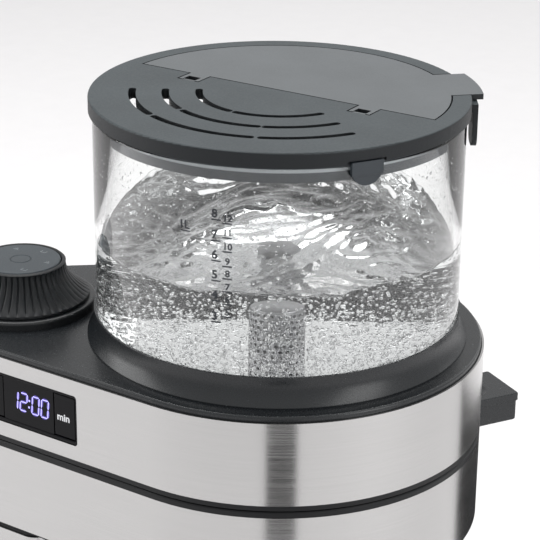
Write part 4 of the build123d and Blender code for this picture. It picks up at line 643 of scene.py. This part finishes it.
def sieve_shell():
    """A perforated sleeve with a closed cap, as one sheet."""
    verts, faces = [], []
    wall_low = SIEVE_LOW.z
    wall_high = SIEVE_HIGH.z - SIEVE_RIM
    cell_h = (wall_high - wall_low) / ROWS
    cell_a = 2 * math.pi / COLUMNS
    for row in range(ROWS):
        for column in range(COLUMNS):
            mid_a = (column + 0.5 * (row % 2)) * cell_a
            mid_z = wall_low + (row + 0.5) * cell_h
            base = len(verts)
            half_a, half_z = cell_a / 2, cell_h / 2
            for k in range(HOLE_STEPS):
                turn = 2 * math.pi * k / HOLE_STEPS
                cx, cz = math.cos(turn), math.sin(turn)
                grow = 1 / max(abs(cx), abs(cz))
                a, z = mid_a + cx * grow * half_a, mid_z + cz * grow * half_z
                verts.append((SIEVE_R * math.cos(a), SIEVE_R * math.sin(a), z))
                a, z = mid_a + cx * HOLE_R / SIEVE_R, mid_z + cz * HOLE_R
                verts.append((SIEVE_R * math.cos(a), SIEVE_R * math.sin(a), z))
            for k in range(HOLE_STEPS):
                n = (k + 1) % HOLE_STEPS
                faces.append((base + 2 * k, base + 2 * n, base + 2 * n + 1, base + 2 * k + 1))
    base = len(verts)
    rims = [
        (SIEVE_R, wall_high),
        (SIEVE_R - SIEVE_RIM / 3, wall_high + SIEVE_RIM * 2 / 3),
        (SIEVE_R - SIEVE_RIM, SIEVE_HIGH.z),
    ]
    for r, z in rims:
        for s in range(RIM_STEPS):
            turn = 2 * math.pi * s / RIM_STEPS
            verts.append((r * math.cos(turn), r * math.sin(turn), z))
    for level in range(2):
        for s in range(RIM_STEPS):
            a = base + level * RIM_STEPS + s
            b = base + level * RIM_STEPS + (s + 1) % RIM_STEPS
            faces.append((a, b, b + RIM_STEPS, a + RIM_STEPS))
    faces.append(tuple(base + 2 * RIM_STEPS + s for s in range(RIM_STEPS)))
    return verts, faces


verts, faces = sieve_shell()
sieve = place("sieve_basket", verts, faces, SIEVE_STEEL, "machine", "steel_plain")
shell = sieve.modifiers.new("sheet", "SOLIDIFY")
shell.thickness = SIEVE_SHEET
shell.offset = -1.0
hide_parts("outlet_sieve")

# ---------------------------------------------------------------- selector knob

knob_low, knob_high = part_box("knob")
KNOB_AT = ((knob_low.x + knob_high.x) / 2, (knob_low.y + knob_high.y) / 2)
KNOB_FOOT_R = (knob_high.x - knob_low.x) / 2
KNOB_TOP_R = KNOB_FOOT_R - 9.3 * MM
KNOB_H = knob_high.z - knob_low.z
disc_low, disc_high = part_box("start_disc")
DISC_R = (disc_high.x - disc_low.x) / 2
SHAFT_R, POCKET_R = 3.0 * MM, 6.0 * MM
DISC_SEAT = knob_high.z - 3.9 * MM
POCKET_FLOOR = knob_high.z - 8.8 * MM
FLUTES, FLUTE_DEPTH = 48, 0.9 * MM
FLARE_STEPS = 12
flare = [(KNOB_FOOT_R, knob_low.z), (KNOB_FOOT_R, knob_low.z + 1.1 * MM)]
for k in range(FLARE_STEPS + 1):
    t = k / FLARE_STEPS
    r = KNOB_FOOT_R + (KNOB_TOP_R - KNOB_FOOT_R) * (1 - (1 - t) ** 2.1) - 0.2 * MM
    flare.append((r, knob_low.z + 1.3 * MM + (KNOB_H - 2.4 * MM) * t))
flare += [
    (KNOB_TOP_R - 0.1 * MM, knob_high.z - 0.6 * MM), (KNOB_TOP_R - 0.8 * MM, knob_high.z),
    (DISC_R + 0.9 * MM, knob_high.z), (DISC_R + 0.3 * MM, knob_high.z - 0.6 * MM),
    (DISC_R + 0.3 * MM, DISC_SEAT), (POCKET_R, DISC_SEAT),
    (POCKET_R, POCKET_FLOOR), (SHAFT_R, POCKET_FLOOR), (SHAFT_R, knob_low.z),
]


def flute(turn, step, radius):
    """Cuts rounded flutes in the flare, fading out at both of its ends."""
    if not 2 <= step <= FLARE_STEPS + 2:
        return radius
    fade = min(1.0, (step - 1) / 2, (FLARE_STEPS + 3 - step) / 2)
    wave = abs(math.sin(turn * FLUTES / 2))
    return radius - FLUTE_DEPTH * fade * (1 - wave) ** 2.2


verts, faces = lathe(flare, KNOB_AT, FLUTES * 12, flute)
fluted = place("fluted_knob", verts, faces, LOOKS["knob_plastic"], "selector", "knob_plastic", sharp=50.0)
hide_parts("knob")

SYMBOLS, SYMBOL_REACH, SYMBOL_TURN = 6, 12.0 * MM, 18.0
SYMBOL_RISE = 0.03 * MM
FOOT_LINE = (-1.3, 1.3, -1.0, -0.75)
CUP_SIDES = ((-1.3, -1.05, -0.75, 0.9), (1.05, 1.3, -0.75, 0.9))
STEAM_LINES = ((-0.8, 0.8, -0.3, -0.05), (-0.35, 0.35, 0.4, 0.65))
icons = []
for k in range(SYMBOLS):
    turn = math.radians(360 / SYMBOLS * k + SYMBOL_TURN)
    ix = KNOB_AT[0] + SYMBOL_REACH * math.cos(turn)
    iy = KNOB_AT[1] + SYMBOL_REACH * math.sin(turn)
    strokes = (FOOT_LINE, *(CUP_SIDES if k % 2 else STEAM_LINES))
    v, f = gather([bar(*[edge * MM for edge in stroke]) for stroke in strokes])
    icons.append(([(ix + p.x, iy + p.y, disc_high.z + SYMBOL_RISE) for p in v], f))
verts, faces = gather(icons)
place("disc_symbols", verts, faces, PRINT_GREY, "start_key")

# ---------------------------------------------------------------- clock

window_low, window_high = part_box("display_window")
GLASS_Y = window_low.y - 0.05 * MM
SEGMENTS = {"0": "abcdef", "1": "bc", "2": "abged"}
DIGIT_H, DIGIT_W, BAR_W, SLANT = 7.6 * MM, 3.4 * MM, 0.5 * MM, 0.09
HALO_W = 1.5 * MM


def segment(name, left, base, width, depth):
    """One bar of a seven-segment digit, as a flat hexagon."""
    h = DIGIT_H / 2
    ends = {
        "a": ((0, 2 * h), (DIGIT_W, 2 * h)), "b": ((DIGIT_W, h), (DIGIT_W, 2 * h)),
        "c": ((DIGIT_W, 0), (DIGIT_W, h)), "d": ((0, 0), (DIGIT_W, 0)),
        "e": ((0, 0), (0, h)), "f": ((0, h), (0, 2 * h)), "g": ((0, h), (DIGIT_W, h)),
    }[name]
    a, b = Vector(ends[0]), Vector(ends[1])
    along = (b - a).normalized()
    across = Vector((-along.y, along.x)) * width / 2
    a, b = a + along * 0.12 * MM, b - along * 0.12 * MM
    points = [a, a + along * width / 2 - across, b - along * width / 2 - across, b,
              b - along * width / 2 + across, a + along * width / 2 + across]
    return [(left + p.x + SLANT * p.y, depth, base + p.y) for p in points], [(0, 1, 2, 3, 4, 5)]


DIGITS = (("1", -1.2), ("2", 3.5), ("0", 9.6), ("0", 14.3))
COLON_AT, COLON_HALF = 8.05 * MM, 0.4 * MM
HALO_BEHIND = 0.02 * MM
digit_left = window_high.x - 20.8 * MM
digit_base = (window_low.z + window_high.z) / 2 - 3.3 * MM
lit = []
halo = []
for symbol, offset in DIGITS:
    for bar_name in SEGMENTS[symbol]:
        lit.append(segment(bar_name, digit_left + offset * MM, digit_base, BAR_W, GLASS_Y))
        halo.append(segment(
            bar_name, digit_left + offset * MM, digit_base, HALO_W, GLASS_Y + HALO_BEHIND
        ))
for dot_z in (0.3, 0.68):
    x0 = digit_left + COLON_AT + SLANT * DIGIT_H * dot_z
    z0 = digit_base + DIGIT_H * dot_z
    s = COLON_HALF
    corners = ((-s, -s), (s, -s), (s, s), (-s, s))
    lit.append(([(x0 + dx, GLASS_Y, z0 + dz) for dx, dz in corners], [(0, 1, 2, 3)]))
verts, faces = gather(lit)
place("clock_digits", verts, faces, DIGIT_GLOW, "machine")
verts, faces = gather(halo)
place("digit_halo", verts, faces, HALO_GLOW, "machine")


def on_front(shape, x, z, y):
    """Stands a flat shape on a front face."""
    verts, faces = shape
    return [(x + v.x, y, z + v.y) for v in verts], faces


WORD_H, WORD_LEFT, WORD_DROP = 3.0 * MM, 0.6 * MM, 1.9 * MM
for key, body, word in (("minute_key", "minute_button", "min"), ("hour_key", "hour_button", "h")):
    key_low, key_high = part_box(key)
    word_x = (key_low.x + key_high.x) / 2 - WORD_LEFT
    word_z = (key_low.z + key_high.z) / 2 - WORD_DROP
    label = on_front(text_mesh(word, WORD_H), word_x, word_z, key_low.y - PRINT_GAP)
    place(word + "_label", *label, PRINT_LIGHT, body)
